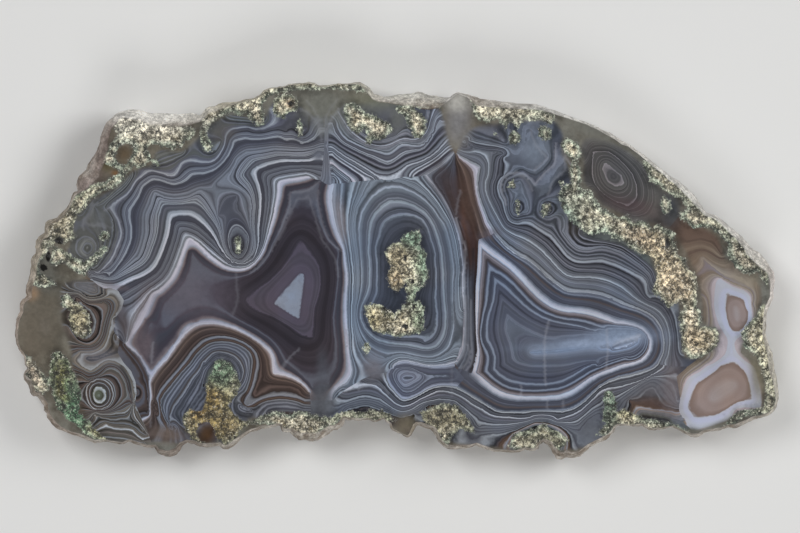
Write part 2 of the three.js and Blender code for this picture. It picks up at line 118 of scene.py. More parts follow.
# The named lines of the banding.
LINES = {
    "WA_left": pairs("188.8,238.9 181.1,258.5 179.3,265.3 180.4,260.7 175.3,273.3 171.2,280.1 164.9,286.5 160.3,290.5 157.8,292.2 152.3,294.5 149.2,304.9 141.1,322 137.9,327 130.5,336.3 127,342.4 125.4,344 132.5,349 139.6,356 145.9,367.2 146.9,370.9 151,375.3 154,369.9 156.9,366 161.1,361.5 165.4,358 175,343.3 182.8,332.9 186.1,329.3 189.7,326 192.8,324.1 198.4,322.4 204.2,321.4 211.2,321.6 219.1,322.7 233.4,326.8 249.3,335 260.3,342 267.2,347.6 272.3,354.3 273,357.3 273.1,362.5 273.9,366.3 273.3,372.4 276.6,372.4 282.3,373.1 288,374.8 294.3,377.4 298.6,379.9 303.9,384.3 307.9,388.6 309,391.2"),
    "WA_top": pairs("189.6,238.7 198.1,245.6 210.9,258.4 223.2,267 230.9,269.5 236.8,270 243.8,269.4 249.4,267 254,263.1 257.9,258.5 261.2,253.5 264.1,247.2 268.9,233 274.8,212.9 276.1,205 278.7,194.3 279.1,186.4 280.1,181.3 301.1,178.5 307.8,176.8"),
    "WA_right": pairs("331.1,184.7 328.6,190.1 328.1,192.9 328.1,198.8 329,205.7 332.6,223.4 336.7,234.7 342.8,249.5 344.2,262.3 345.9,273.2 345.9,282.3 344.7,302.3 345,316.3 347.9,353.2 349.9,368.1 349.3,372.8 347.4,376.2 344.1,379.9 335.5,386.9 332,390.7 331.4,392.7 331.1,396.7"),
    "A_alpha": pairs("291.8,191.3 290.1,200.2 287,209.7 279.2,230.3 270.7,246.1 269.4,252.7 266.3,257.6 260.7,264.6 255.6,269.3 252.3,271.6 246,274.6 237.2,276.7 229.1,277 221,275.8 216.1,274.1 211.7,271.9 201.4,265.3 196.1,260.3 191.9,252.4 191,266.9 186.2,280 183.8,284.3 179.4,289.6 167.1,301.3 164.6,304.5 162.4,311.3 163,319.2 164.8,326.1 168.3,321.8 178.4,311.6 185.3,307.1 191.2,304.5 196.4,303.7 204.6,303.4 209.8,304.4 215.6,306.4 227.1,312.7 232.9,316.7 256.8,329.3 268.4,337.3 273.5,342.1 277.3,346.7 280.9,352.8 284.1,360.1 292.1,365.9 301.8,374.7 306.6,379.8 312,387"),
    "A_alpha2": pairs("318.4,182.8 315.9,190.4 315.6,194.4 317.2,207.2 321.1,224.7 326.2,236.6 328.1,240.1 334,245.4 338,248.2 339,250.7 336.7,261.4 337.7,272.4 337.6,278.3 332.7,317.9 334,332.9 335.5,341.6 335.8,359.5 334.9,365.2 333.9,368 329.2,374.4 328.4,378.3 328,384.3"),
    "A_core": pairs("299.4,238.7 305.9,246.3 316.2,261.1 318.4,265.7 319.5,270.7 320,277.7 319.7,286.9 317.6,296.7 314.4,305.2 313.5,310.1 312.9,322 312.5,337.5 305.3,335.9 301.7,334.7 298.6,332.7 290.8,326.4 280.4,320.3 271.6,315.6 261.1,312.1 252.1,307.9 247.9,304.8 244.3,299.6 252.6,292.1 269.7,279.8 280,269.9 284.5,264.4 289,257.7"),
    "A_tri": pairs("273.6,302.8 300.6,272.2 303.1,274.2 303.3,276.9 299.5,305.8 298.7,318.9"),
    "L1a": pairs("94.2,274 99.5,271.5 109.2,261.6 114.6,252.4 114,251.9 120.6,236.2 120.9,231.2 118.7,223.4 116.8,218.8 110.2,207.7"),
    "L1b": pairs("107,208.2 109.5,205.4 115.6,200.8 126.5,193.8 130.5,188.8 133.7,182.5 136.1,179.3 148.4,170.4 150.5,169.9 152.6,170 164.1,173.6 169.5,175.9 172.5,175.6 174.4,174.9 176,173.6 179.8,164.3 181.2,162.3 183.2,160.7 190.6,159 196,160.9 200.9,162 207.9,162 210.8,161.4 214.4,159.6 216.7,157.6 222.5,148.2"),
    "L2": pairs("106.7,277.5 113.1,271.1 119.2,263.1 124.8,254.2 129.7,242.5 130.9,236.8 131.2,231.2 130.8,225.5 129,216.6 128.8,209.6 133.7,203.1 137.4,197.1 139.6,192.6 141,187.8 141.9,185.5 150.5,179.1 153.9,178.5 158.8,179.2 171,183.8 174.9,184 179.8,182.7 184.3,180.6 186.7,178.8 191.3,173.3 200.2,173.1 204.3,172.8 211.9,170.3 217.2,167.2 223,161.6 227.7,155.1 231.7,147 233.1,140.2 244.7,137.7 251.6,138.9 258.6,139 267.5,138 277.2,136 280.1,136.9 287.2,140.9"),
    "L3": pairs("137.5,257.4 139.7,252.9 142,246.4 144.8,235.9 145.8,229 145.1,218.2 145.4,214.4 150.1,204.7 153.9,190.7 159,194.7 163.8,196.6 169.9,197.7 176,197.9 181.1,197.5 189.2,195.9 200,189.4 204.7,193.7 208.8,199.5 216,213.9 217.9,222.9 221.7,234.1 222.8,243.1 225.7,251.9 228.7,256.3 231,258.6 235.7,261.1 237.8,261.6 240.1,261.4 243.7,259.2 248.5,254.8 250,251.8 251.6,243.8 252.2,235.5 250.2,226.5 250,222.5 251,205.4 249.6,198.1 248,195.3 244.2,191.4 238.1,187.3 226.4,183.5 216.7,183.3 231.3,168.9 232.9,166.1 235.9,158 245.1,151.7 258.6,150.6 273.5,148.1 293.5,149 303.5,148.8 312.6,147.7 319.3,145.6"),
    "L4": pairs("137.7,264.9 142.1,262.3 145.4,258.4 147.3,254.8 152,242.7 154.8,234.2 155.6,230.3 156.1,214.2 160.9,200.8 169.4,201.8 176.4,201.9 183.3,201.2 191,199.3 195.9,198.8 201.3,203.3 217.1,224 218,225.9 220.4,236.7 222.4,243.4 225.8,251.8 229.2,256.8 232.9,260 238.2,262.3 241.1,262.5 248.2,260.9 251.5,258.3 253.5,255.8 255.8,247.7 254.3,240.6 252.6,223.7 253.1,213.7 254,208.7 253.8,203.6 252.2,193.6 250.4,188.6 247.6,183.2 240.1,174.8 248.9,162.4 251.6,159.7 253.2,159 265.6,156.7 276.3,154 297.3,155.1 305.3,154.8 312.1,152.7 317.1,149.3"),
    "L5": pairs("89.6,276.8 91,279.4 92.4,280.8 96.7,283.3 106.3,285.9 113.2,285.9 119,284.6 128.6,279.4 141.9,274.9 150.4,269.7 153.4,266.9 156.5,261.8 160.6,253 164.6,241.9 166.8,235.3 168.8,226.5 169.8,214.5 177.3,213.2 184.3,212.7 189.3,213 193.3,214.3 204.7,224.1 210,230.1 212.8,234.3 220.5,250.6 224,255.7 227.5,259.5 231.7,262.6 235.6,264.1 241.8,263.9 245.6,262.8 249.7,260 254.3,253.6 256.4,248.1 258,240.3 258.1,226.4 260,207.5 260.3,197.6 259.4,190.8 257.6,183.1 253,172 255,168.7 256.4,167.4 265.1,164.9 266.3,163.6 276.4,161.2 283.4,160.1 298.3,160.3 310.1,159.8 315.2,156.9 318.4,153.2"),
    "L0a": pairs("81.2,222.5 83.2,217.9 91.4,206.3 106.8,195.6 110.8,191 123.1,181.1 129,173.3"),
    "L0b": pairs("94.9,205.5 102.7,206.9 105.1,208.4 107.1,210.5 109.8,214.6 111.8,219.1 112.6,222.9 112.7,227.9 111.5,235.8 109.3,244.1 107.6,248.6 105.7,251.8 101.7,257.2 97.7,264.3 92,270"),
    "Lb0": pairs("232,130.2 246.7,127.8 250.3,129.1 253.7,131.1 260.8,130.9 263.8,130.4 272.2,127.7 278.1,127.1 282.7,128.2 285.6,130.6"),
    "Linc": pairs("201,140 204.5,149.3 206.7,151.3 209.6,152.1 212.4,151.4 216.1,148.1 217.9,145.6 220,140"),
    "L2b": pairs("299.9,143.8 307.5,141.9 314.5,138.3 317.6,134.3 319.2,127.6"),
    "L_f": pairs("90.7,273.5 103.9,277.7 110.7,278 113.5,277.6 129.4,269.8 133.2,268.4 138.2,267.6 142.7,265.6 145,263.6 148.1,259.7"),
    "L_g": pairs("90.1,277.6 94.2,282 99.5,284.8 106.3,286.2 114.2,286 119.9,284.1 127.8,279.9 134.2,277.1 142.9,274.5 149.3,271.7"),
    "T1": pairs("235.1,227.1 233,229.2 230.4,233.3 229.5,236 229,239.8 230.6,251.2 231.8,253.4 235,256.7 236.6,257.4 238.4,257.5 240.9,256.4 242.1,255 245.4,249 247.6,238.9 246.8,235.7 243.6,231.5 237.8,227.3 236,226.8"),
    "P1": pairs("86.1,239.5 89,240.6 92.5,242.9 93.9,244.8 94.1,246 93.5,249.3 92.1,252.1 89.1,255 86.3,256.4 84.2,255.9 81.7,253.9 79.7,251.3 79.1,249.1 79.6,245.9 81.5,242.2 83.9,240.1"),
    "m1": pairs("166.7,428.9 163.4,426.6 159.5,422.1 157.1,417.7 155.2,413.1 154.1,408.3 153.9,404.4 154.5,400.5 156.3,395.9 161.6,387.6 180.4,365.6 194.9,346.7 200.6,341.4 204.7,338.9 209.2,337.1 214.9,336 221.9,335.9 228.7,336.7 235.5,338.4 241.8,341 247.8,344.5 252.4,348.3 255.2,352.2 256.9,356.8 257.9,361.6 258,364.5 257.4,368.3 253.1,385.7 249.9,393 243.7,402.4 244.7,406.4 246,406.9 252.4,401.5 259,397.8 267.6,395.3 273.5,394.2 278.4,393.9 286.3,394.4 297,396.1 301.7,397.9 305,400.2"),
    "m3": pairs("175.4,427.3 170.8,425.3 169.3,424.1 165.6,418.6 161,410 160,405.2 160.9,399.4 165,392.7 181.3,372.4 190.5,363.3 195.7,355 201.1,349.7 206.5,345.2 209.9,343.5 214.5,342.2 220.5,341.7 228.4,342 237,344.3 244.1,348.1 247.9,351.4 249.8,354 250.8,357 251.3,362.1 248.5,379.9 245.2,389.6 243.1,392 238.7,394.6 236.5,396.7 234.6,400.3 234,404.3 235.3,408.9 236.5,410.5 238,411.6 246.3,413.9 248.3,413.5 252.7,411.1"),
    "m4": pairs("170.2,426.9 168.6,421.2 168.6,418.3 173.6,406.4 182.9,394.9 193.4,376.8 198.9,371.2 205.4,361.1 211.8,353.5 214.5,352.1 220.2,352 226.6,353.2 232.5,355.4 239.1,361.5 240.6,364.3 243.2,372"),
    "s1": pairs("250.9,412.3 254.3,410.2 261.3,404.5 264.1,403 268,401.8 277.1,400.5 284.3,400.3 290.5,401.2 298.3,403.3"),
    "u0": pairs("336.7,124.9 341.2,133.8 343.9,136.8 347,139.3 365.6,147.8 375.3,150 383.9,152.9 386.7,153.4 388.5,153.1 391.2,151.8 397.7,145.6 401.1,143.4 403.2,143.2 411,145 418.8,146 423.4,144.6 425.8,142.9 427.6,140.6 433.3,130 435,124.3"),
    "u1": pairs("331.3,120.4 332,126.3 333.9,131.9 337.9,137.5 342.1,141.6 346.2,144.3 363,152.6 375.1,157.4 384.8,162.4 387.5,163 391.7,161.4 401.1,154.1 404.6,152 411.4,150.1 419.3,149.2 423.5,146.9 427.5,141.4 439.5,119.7"),
    "u2": pairs("330.3,145.5 342.5,154.5 360.7,164.9 374.9,174.5 377.9,175.5 386.9,177.1 390.7,175.8 397.7,171.8 401.9,169 407.1,164.4 416.6,162.1 423.3,159.5 429.7,156.1 433.9,153.1 439.1,148.2 448.3,137.3"),
    "u3": pairs("330.9,151.8 334.5,156.6 338.6,159.6 364.1,175.9 372.8,178.9"),
    "u4": pairs("330.9,159.5 333.1,162.8 335.2,165 357.3,181.7"),
    "WB1": pairs("453.5,153.1 446.6,160.4 440.3,165.6 426.8,174.3"),
    "WB2": pairs("426.6,174.5 432.2,181.5 441.5,194.5 448.3,206.6 453.6,219.3 458.4,234.4 460.1,242.2 463.1,266 462.3,282 463.1,288.9 464.4,312.9 464,332.8 463.1,339.7 462.9,345.8 461.9,349.9 458,358.1 454.5,363.1"),
    "WB3": pairs("453.9,362.2 445.5,364.8 434,365.4 424.3,364.6 407.7,360.6 403.6,360.3 400.3,360.8 398.2,361.6 394.6,364 392.4,366.3"),
    "bl1": pairs("354.8,179.9 351.5,188.3 349.1,197.9 347.1,214.5 347.1,229.4 351.9,267.1 352.6,280 352,286 352,299 351,304.9 350.9,315 351.1,326 352,335 352.1,349.2 353.6,355.3 360.5,368.5 360.8,373.5 359.1,378.3 356.8,381.8 352,385.6 342,390.7 338.6,393.1 335,396.9 331.9,403.5"),
    "tb": pairs("373,190.7 377.4,185.4 381.7,183.4 387.5,182.2 398.5,182.2 403.5,183.8 415,189.7 421.8,194.1 425.6,197.4 434.3,206.8 439.9,216.1 444.9,221.3 446.4,224 448.7,230.6 451.5,241.4 455.7,267"),
    "tb2": pairs("455.7,267.2 455.7,272.2 453.9,280.2 453.8,298.2 455,316.2 454.9,326.1 453.8,334 452,341.7 450.5,346.4 448.6,349.7 446.5,351.7 440.7,355.5 433.9,358.2 428.8,358.5 423.6,358.1 411.8,355.7 406.1,354.1 398.9,353.2 392.9,354.3 384.4,357.6"),
    "bl3": pairs("370.6,180.3 366.1,186.9 359.8,200.5 355.8,206.4 353.7,216.4 353,224.5 353.1,230.6 357.2,259.3 358.1,276.1 358.1,282.1 356.9,296 355.2,304.9 354.8,309.9"),
    "rb1": pairs("369.3,269.5 369,258.5 368.1,253.5 368,250.5 369.2,230.5 370.4,222.7 372.5,217.1 374.9,212.9 384.2,204 388.2,201.4 390.9,200.8 398.7,201.1 407.3,203.1 414.4,205.9 419.6,208.9 423.7,211.9 428.4,217.1 430.6,220.5 433.7,226.8 437.9,240 440.6,250.7 442.7,274.5 442.9,290.5 445,313.4 445.2,321.5 445,325.5 443.6,332.5 442.1,336.4 439,341.6 436.2,345 434.3,346.3 431,347.3 426.8,347.8 421.5,347.3 410,344.3 401,343.8 392,342.6 379.2,339.7 376.3,338.6 373.7,337 368.2,332.4 363.8,327.4 359.4,316.9 359.4,311.9 361.2,304.2 366.5,293.6 368,288.7 369,282.6"),
    "rb2": pairs("376.3,285 377,278 377,268.9 376.7,260.9 375.3,251 375.3,247.9 376.7,242 380.1,232.6 380.9,226.6 382.2,223.8 385.7,220.1 390,217.5 396.6,215.2 403.4,214 408.4,214.3 416.1,216.5 419.9,218.1 422.3,220.1 426.9,228.1 430.5,240.7 433,247.1 434.3,252.9 434.1,263.9 434.9,268.9 435.1,275.9 435,289 434,295.9 436,312.7 436,324.7 434.8,329.6 432.8,333.3 430.9,335.7 424.3,340.5"),
    "WF": pairs("393.2,366.6 389.4,368.2 386.6,371.5 385.9,374.7 386.4,378.8 389.1,384.2 391.9,388.3 400.2,397.7 401.8,398.7 404.8,398.9 408.7,398.1 417.8,393.9 427.2,388.5 433.6,386.2 442.1,384.9 450.8,385.2 456.4,386.4 461.7,389 496.6,409.9"),
    "F1": pairs("393.2,366.5 401,365.5 406.8,365.6 431.2,370 446,370 454.9,369.5"),
    "F2": pairs("452.1,376.5 439.9,376 430.8,377.6 426.1,379.8 418.6,386.9 414.4,389.6 409.7,391.6 404,392 400.3,389.1 395.6,382.8 393.6,379.4 392.1,374.8 392,372.4 392.7,371 395.2,368.2 397.9,366.6 403,365.8 410.2,366.8 413.1,367.9 420,372.3 424.9,373.8 431.9,375 445,375"),
    "F3": pairs("403.3,384.4 400,381.2 398.6,378.9 397.9,375.4 398.5,373.3 401.4,371.2 406.3,370.9 416.3,372.2 420.4,374.1 420.9,375.5 419,377.4 406,384.8 404,385.2"),
    "WR1": pairs("456.6,152.8 458.9,156 462.1,158.4 479,167.3"),
    "WR2": pairs("478.8,166.6 476.8,172.4 475.9,180.4 476.3,189.5 477.9,197.4 486.2,220 488,223.7 493.9,233.1 504.3,245.4 513.1,252.3 519.2,255.9 526.5,259.2 529.7,261.3 535.1,265.7 540.1,270.7 550.7,279.9 563.5,289.7 569.5,291.6 586.6,292.1 600.3,294.4 609.7,297.9 623.3,304.3 638.6,309.2 647.4,313.4 651.4,316.1 654.2,318.7 659.1,325.7 661.1,330.2 662.9,341 662.9,349 662.1,353 657.1,362.8 653.5,366.5 649.8,368.4 635.3,372.6 628.5,374.3 618.7,376 608.5,380 598.4,386.4 582.4,401.4 576.8,405.2 570.8,408.3 563.2,409.8 532.2,410 521.2,411.1 504.2,411 496.2,409.9"),
    "WC": pairs("478,239.1 476.8,268.9 475.3,285.8 474.9,307.8 475.5,332.7 476.8,349.8 475.2,358.7 472.5,369.3 471.3,373 476.6,376.4 484,383.2 492.7,389.8 499.5,393.7 506,396 515.8,397.8 522.8,398 552.8,397.7 559.7,397 571.8,392.5 576.9,389.2 589.7,379.6 599.2,374.4 616.2,368.6 620.8,366.6 632.4,363.6 640.8,360.6 644.4,357.6 648.2,352.2 649.7,348.8 650.5,344.3 650.3,338.8 647.6,333.7 642.9,328.8 637,325.4 627.7,322.7 615.8,321.7 600.4,314.7 590.4,311.1 577.8,309.2 567.9,309 561.9,308 556.1,306.3 550.7,303.7 542.9,297.8 537,292.5 529.4,284.7 516.2,269.7 510.3,264.3 502.6,258 480.4,242.9"),
    "c1": pairs("485.9,370.8 487.8,362 487.9,355.8 486.6,352 481.3,342.3 480.2,337.4 480,331.5 482,318.8 485.8,303.3 486.6,298.4 487.2,288.3 489.8,267.6 493.4,271.2 500,273.3 503.3,275.6 513.1,284 529.2,301.6 536.2,307.3 541.9,311 550,314.6 555.6,316.6 566.2,318.8 574.2,319.4 584,321.2 590.8,323.1 604.6,328.2"),
    "c1b": pairs("486.7,370.7 491.1,376.1 496.3,380.3 502,384 508.2,386.8 523.5,389.9 541.5,389.8 558.3,387.8 563.9,386.1 572,382.2 590.6,370.6 606.2,363.9 626,357"),
    "c2": pairs("493.8,369.1 494.5,357.3 494.2,355.5 491.8,347.9 487.1,340.3 486.1,336.4 485.9,331.5 486.3,322.5 487.2,316.5 492.9,299.4 494.8,285.4 494.6,278.6 504.8,286.1 518.3,299.4 528.1,308.1 533,311.6 541.6,316.5 549.9,319.6 558.6,322 580.2,326.1 596.5,331.2"),
    "c2b": pairs("494,368.5 496.9,372.4 500.4,375.5 506.2,379 511.5,381.2 522,383 533,383.8 544,383.9 554.7,382.5 562.3,380.5 572.8,374.9 583.6,367.8 589.7,364.4 592.5,363.4 596.5,362.9"),
    "c3": pairs("598.3,362.9 595,360.6 592.2,359.9 576.4,361.2 565.9,363.7 555.9,364 530,363.8 522.2,362.4 517.6,360.8 516,359.6 514.6,357.1 512.5,344.4 507.9,334.5 506.3,329.8 505.9,326.9 506.2,323 508.4,318.4 514.3,323.6 522.8,328.7 539.9,336.9 546.5,338.8 553.3,339 563.9,336.1 572.9,335.8 583.6,334 591.4,334.8 600.2,332.3"),
    "g0": pairs("485.7,179.6 484.8,184.6 484.9,188.8 487.6,197.6 491,204.9 501.8,224.3 503.5,226.9 505.9,229.1 513.1,233.1 519.8,235.2 525.2,237.7 536.2,244.5 541.7,248.8 558.3,267.5 563.5,272.2 566.8,274.4 569.6,275.5 572.6,276 590.4,276.2 599.6,277 608.6,279.5 621.4,285.6 635.9,298.2 641.2,301.4 655.5,308.4 659.2,311.2 663.3,316.4 666,321.5 668.2,328.9 669.3,335.7 669.3,344.4 667.4,354.8 666.4,357.6 663.8,361.9"),
    "g1": pairs("521.5,221 527.5,221 530.3,221.9 539.1,228.5 549.4,234.3 551.7,236.2 555,240 566.5,255 571.9,258.9 577.6,260.8 582.6,261.1 588.7,260.6 597.5,259.1 601.4,259.2 614.7,263.3 640.8,276 644.8,279 646.6,281.4 646,292.4 646.9,294.3 649.6,297.3"),
    "g2": pairs("561.7,229.7 564.2,234 570.4,242 574.7,246.1 578.2,247.9 582.1,249 588.3,249 598.8,246.3 603.6,246 607.4,246.9 622,252.2 639.6,264.7 647.6,272.2 650.3,276.3 651.8,284"),
    "v1": pairs("512.2,171.9 505.5,173.8 503.2,175.6 501.5,178 500.3,180.8 499.1,184.7 499,187.9 500.8,194 504.2,199.8 505.7,209.8 508.5,217.4 509.8,219 512.4,220.8 518.4,221.9"),
    "v1b": pairs("520.7,169.4 527.7,175 534.3,183.8 537.1,180.7 543.1,172.5 547.5,168.1 551.6,165.5 552.6,164.4 553.8,158.9 554.9,149 554.7,140"),
    "v1c": pairs("519,180.4 521.7,187 521.7,191.1 522.3,194.2 525.9,201.3 527.2,204.9 527.5,207.7 526.9,212.6"),
    "v2": pairs("564,166.6 560.2,172.7 555.6,176.5 551.6,180.5 549.3,188 547.6,191.3 546.2,192.5 539.9,195.4 536.9,197.8 535.3,201.3 533.2,210.9 533.8,214.8 535.2,217.4 546.4,223.9 548.6,224.2 550.8,223.4 555.4,218"),
    "v3": pairs("466.4,139.7 470.1,145.4 472.5,146.9 476.1,148.3 480.8,149.8 503.2,152.5"),
    "e1": pairs("602.4,162.7 603.5,162.2 604.8,162.6 609.6,166.1 615.6,171.4 619,173.4 620.1,174.7 623,181.6 622.5,183.3 619.8,184.5 615.8,185 613.9,184.6 609.6,182.3 608.1,181.1 606.4,178.7 602.6,169.3 602,166.4"),
    "e2": pairs("600.2,148.1 603.8,148 608.1,149.6 622.3,161.9 629,166.6 631.1,169 632.6,171.6 636.4,181.2 636.8,187.5 635.8,191.7 633.2,195.1 629.3,196.9 620.1,197.9 613,197.3 607.1,195.3 600,190.9 596.3,185.8 592.6,177.2 591.1,170.2 591,161.1 591.4,157 593.1,153.4 597.5,149.2"),
    "o1": pairs("701.1,256.3 704.5,260.9 715.9,270.6 722.2,276.7 735.6,283.2 748.8,288 752.3,290.8 753.7,294 753.8,298.2 752.7,302.2 750.1,307.8 748.2,316.6"),
    "hc1": pairs("726.3,291.3 727.8,293.4 739.1,296.8 742.8,298.7 743.9,300.4 745.2,306.4 747.7,311.8 748,316.9 746.7,321.8 742.2,328.5 739.9,330.7 738,331.6 734.7,331.8 732.6,330.8 730,327.4 728,322.7 725,308.8"),
    "hc2": pairs("719.9,364.9 725.7,363.4 731.4,361.1 733.6,361.1 735.5,362.2 739.9,366.3 744,370.7 746.6,375 748.7,381.7 751.6,396.4 751.6,398.4 750.7,400.1 743.8,400.2 736.2,402.2 721.9,411.1 714,415.2 695.2,417 694.2,416.9 692.6,415.7 690.7,412.2 687.4,408.5 686.9,406.5 689.9,397 695.1,385 697.7,381.5 703.1,378.9 713.6,371.3 717.3,368"),
    "hr2": pairs("713.6,362.5 706.2,365.7 699.3,371.4 693,374.3 688.8,377.1 686.2,380.1 683.3,386.4 679.2,401.9 678.5,406 678.7,410.1 680.1,414.2 684.6,418.3 686.9,424.8 689.6,428 692.2,429.7 695.4,430.2 701.9,427.5 724.4,422.6 727.4,421.2 729,419.7 730.9,417.1 732.2,413.2 733.7,410.5 735.1,409.1 736.9,408.1 743.8,406.8 756.8,407.2 758.7,406.9 760.2,405.8 761,402.1 760.7,395.1 755.1,368.7 753.3,366.2 744.2,360 737.8,353.9 735.3,349.9 733.8,344.4 734.2,341.7 736,338.6 742.6,334.3 744.9,332.2 748.8,327.5 751.3,322.9 752,318.9 749.8,296.7 747.6,293 743.3,289.7 731.9,285.9 719.9,278.3 718.4,278.4 716.4,280.1 715.2,283.1 714.1,291.1 713.5,303 714.1,309.9 717.5,322.4 721.9,330.3 726.3,336.9 727.1,339.7 727.2,342.6 726.2,349.5 724.4,354 720.2,358.1"),
    "w3": pairs("555.5,419.1 572.4,413 580,408.9 587.4,402.8 598.3,390.9 602.7,388 607.6,386.3 616.7,385.7 621.7,384.8 639.1,380.3 648.4,376.3 662.3,366.4"),
    "q0": pairs("659.9,377 664.8,377.2 667.4,377.8 671.2,380.4 674.5,383.8 676.6,388.8 677.5,393.3 676.5,401.8"),
    "q1": pairs("480.1,436.1 490,434.3 499,433.8 504.9,432.8 515.5,429.7 528.9,423.3 534.3,421.2 539.2,420.7 545,421 561,426 565.1,429 569.3,433.3 571,435.9 572.8,446.9"),
    "q2": pairs("599.3,413.1 593,416.1 589.6,418.2 587.2,420 585.3,422.3 582.8,426.7 581.3,430.4 578.5,439.1 578,443"),
    "q3": pairs("628.6,399.6 634.7,403 645.5,407.1 656.1,408.9 661,409.1 666,409.9 672,410"),
    "n1": pairs("334,403.9 344.7,401.5 362.8,396 366.7,395.8 372.3,397.7 379.2,398.7 392.9,408.6 398.4,411 402.4,411.6 406.3,411 410.1,409.6 420.3,403.3 426.8,401.1 432.6,400.4 438.3,399.2 453.1,400.4 455.8,401.7 472.9,416.5 476,420.4 478.9,425.6"),
    "n2": pairs("334.6,395.2 340.7,391.6 349.2,388.3 356.3,387.2 362.9,384.5 371.3,384.5 374.5,385.2 377.4,386.9 390.5,399.4 395.7,403.5 400.4,405.6 403.5,406.1 407.7,405.2 412.5,403.1 420.1,398.5 435.4,391 438.3,390.1 441.4,389.9 451.3,392 457.8,394.5 463,397.4 475.4,405.9 482,408.8 488.3,413.3 492.6,415.1 499.2,416.3 508.9,416.6 517,418 530,417.6"),
    "tongue": pairs("66.5,282.8 67.6,281.2 70.2,279.9 81,280.9 89.1,279.8 92.3,280 96.1,282.1 99.1,285.1 103.2,291.2 103.3,292.6 102.4,293.6 99.4,295 94.4,296.3 90.3,296.6 87,296.3 84.1,294.8 78.9,290.4 72.6,288.4 69.8,286.8 67.3,284.9"),
    "l1": pairs("103.5,291.1 107.4,290.3 110,290.3 113.5,291.5 116.5,293.5 118.8,296.2 120.5,299.3 121.1,302.6 120.5,306.3 118.4,310.8 114.2,315.1 112.2,318.4 107.7,337.8 103.7,346.1 101.9,348.7 97.3,351.7 92.1,353.3 85.8,353.5 79.7,352.5"),
    "l2": pairs("89,302.9 96,302.9 103.8,301.4 106,303.3 107,305.8 106.9,309.4 103.5,319.3 100.7,333.1 98.5,337.9 96.7,340.5 93.1,343.1 88.8,344.4 84.5,344.3 79.5,342.4 76,340.1 73,337.2 70,333 66.1,326.1"),
    "l3": pairs("76,296.7 85.1,305.9 90.6,310 95.3,318.9 95.7,321 93.4,331.2 92.4,333.1 90.4,335.5 87.8,337.5 85.7,338.3 83.5,338.1 78.8,336.1"),
    "l4": pairs("76.5,358.9 78.5,362.3 80.7,364.6 89,369.5 90.5,369.9 92.7,368.9 100.3,362.3 104.6,359.6 107.7,358.8 112.8,359.5 117.5,361.5 121.7,364.4 127.8,371.1 130.8,377.3 132.5,382.9 133.3,387.6 133.7,393.5 133.2,400.4 132,404.2 127.8,409.8 125.4,411.6 123.6,412.4 115.5,412.6 107.8,414.1 100.9,413.9 95.1,412.2"),
    "l5": pairs("71,371.8 74,372.1 80.6,373.8 84.4,376.9 87.3,380.7 88.7,381.1 95.3,376.9 100.7,374.3 102.8,372.2 105.8,368.1 107.5,367 110.6,366.4 114.8,367.7 119.6,371.9 124.1,378.8 125.8,383.6 126.8,389.7 131.3,399.9 132.5,404.7"),
    "l6": pairs("93,413.8 100.2,416.8 110.5,419.6 115.4,419.4 121.2,417.9 125.3,418.1 129.4,419.1 136.5,423.5 147.2,434.1"),
    "l7": pairs("104.9,422.9 108.3,426.4 110.7,427.4 118.3,429 127.3,429 131.2,429.8 133,430.9 136.9,435.6 143.2,440.8"),
    "l8": pairs("98,378.3 103,379.1 105.8,380.2 108.2,381.9 110.8,385.1 112.5,389.8 113,393.8 112.6,397.7 110.8,402.4 108.4,405.5 105.2,407.9 100.3,409.2 95.4,409 92.6,408.1 90.3,406.4 87.7,401.2 86.3,396.6 85.7,388.5 86.2,386.4 87.7,383.5 89.7,380.9 92.4,378.8 95.5,377.5"),
    "l9": pairs("98,385.8 102.9,387.8 105.2,390.4 106,395 104.6,399.4 102.1,402 98.6,402.7 95.6,401.6 93.7,399.3 93.2,397.6 93,392.1 93.4,389.3 95.2,386.9"),
    "seam": pairs("132.3,402.8 141.7,420.7 145,428 146.9,433.7"),
    "WCl": pairs("471.3,373 472.5,369.3 475.2,358.7 476.8,349.8 475.5,332.7 474.9,307.8 475.3,285.8 476.8,268.9 478,239.1"),
}
CLOSED = {"A_core", "A_tri", "T1", "P1", "rb1", "F3", "WC", "e1", "e2", "hc1", "hc2", "hr2", "tongue", "l8", "l9"}

# Lines that two parts share.
EDGES = {"WA_left", "WA_top", "WA_right", "WR1", "WR2", "WB1", "WB2", "WB3", "WC", "WCl", "WF", "hr2"}

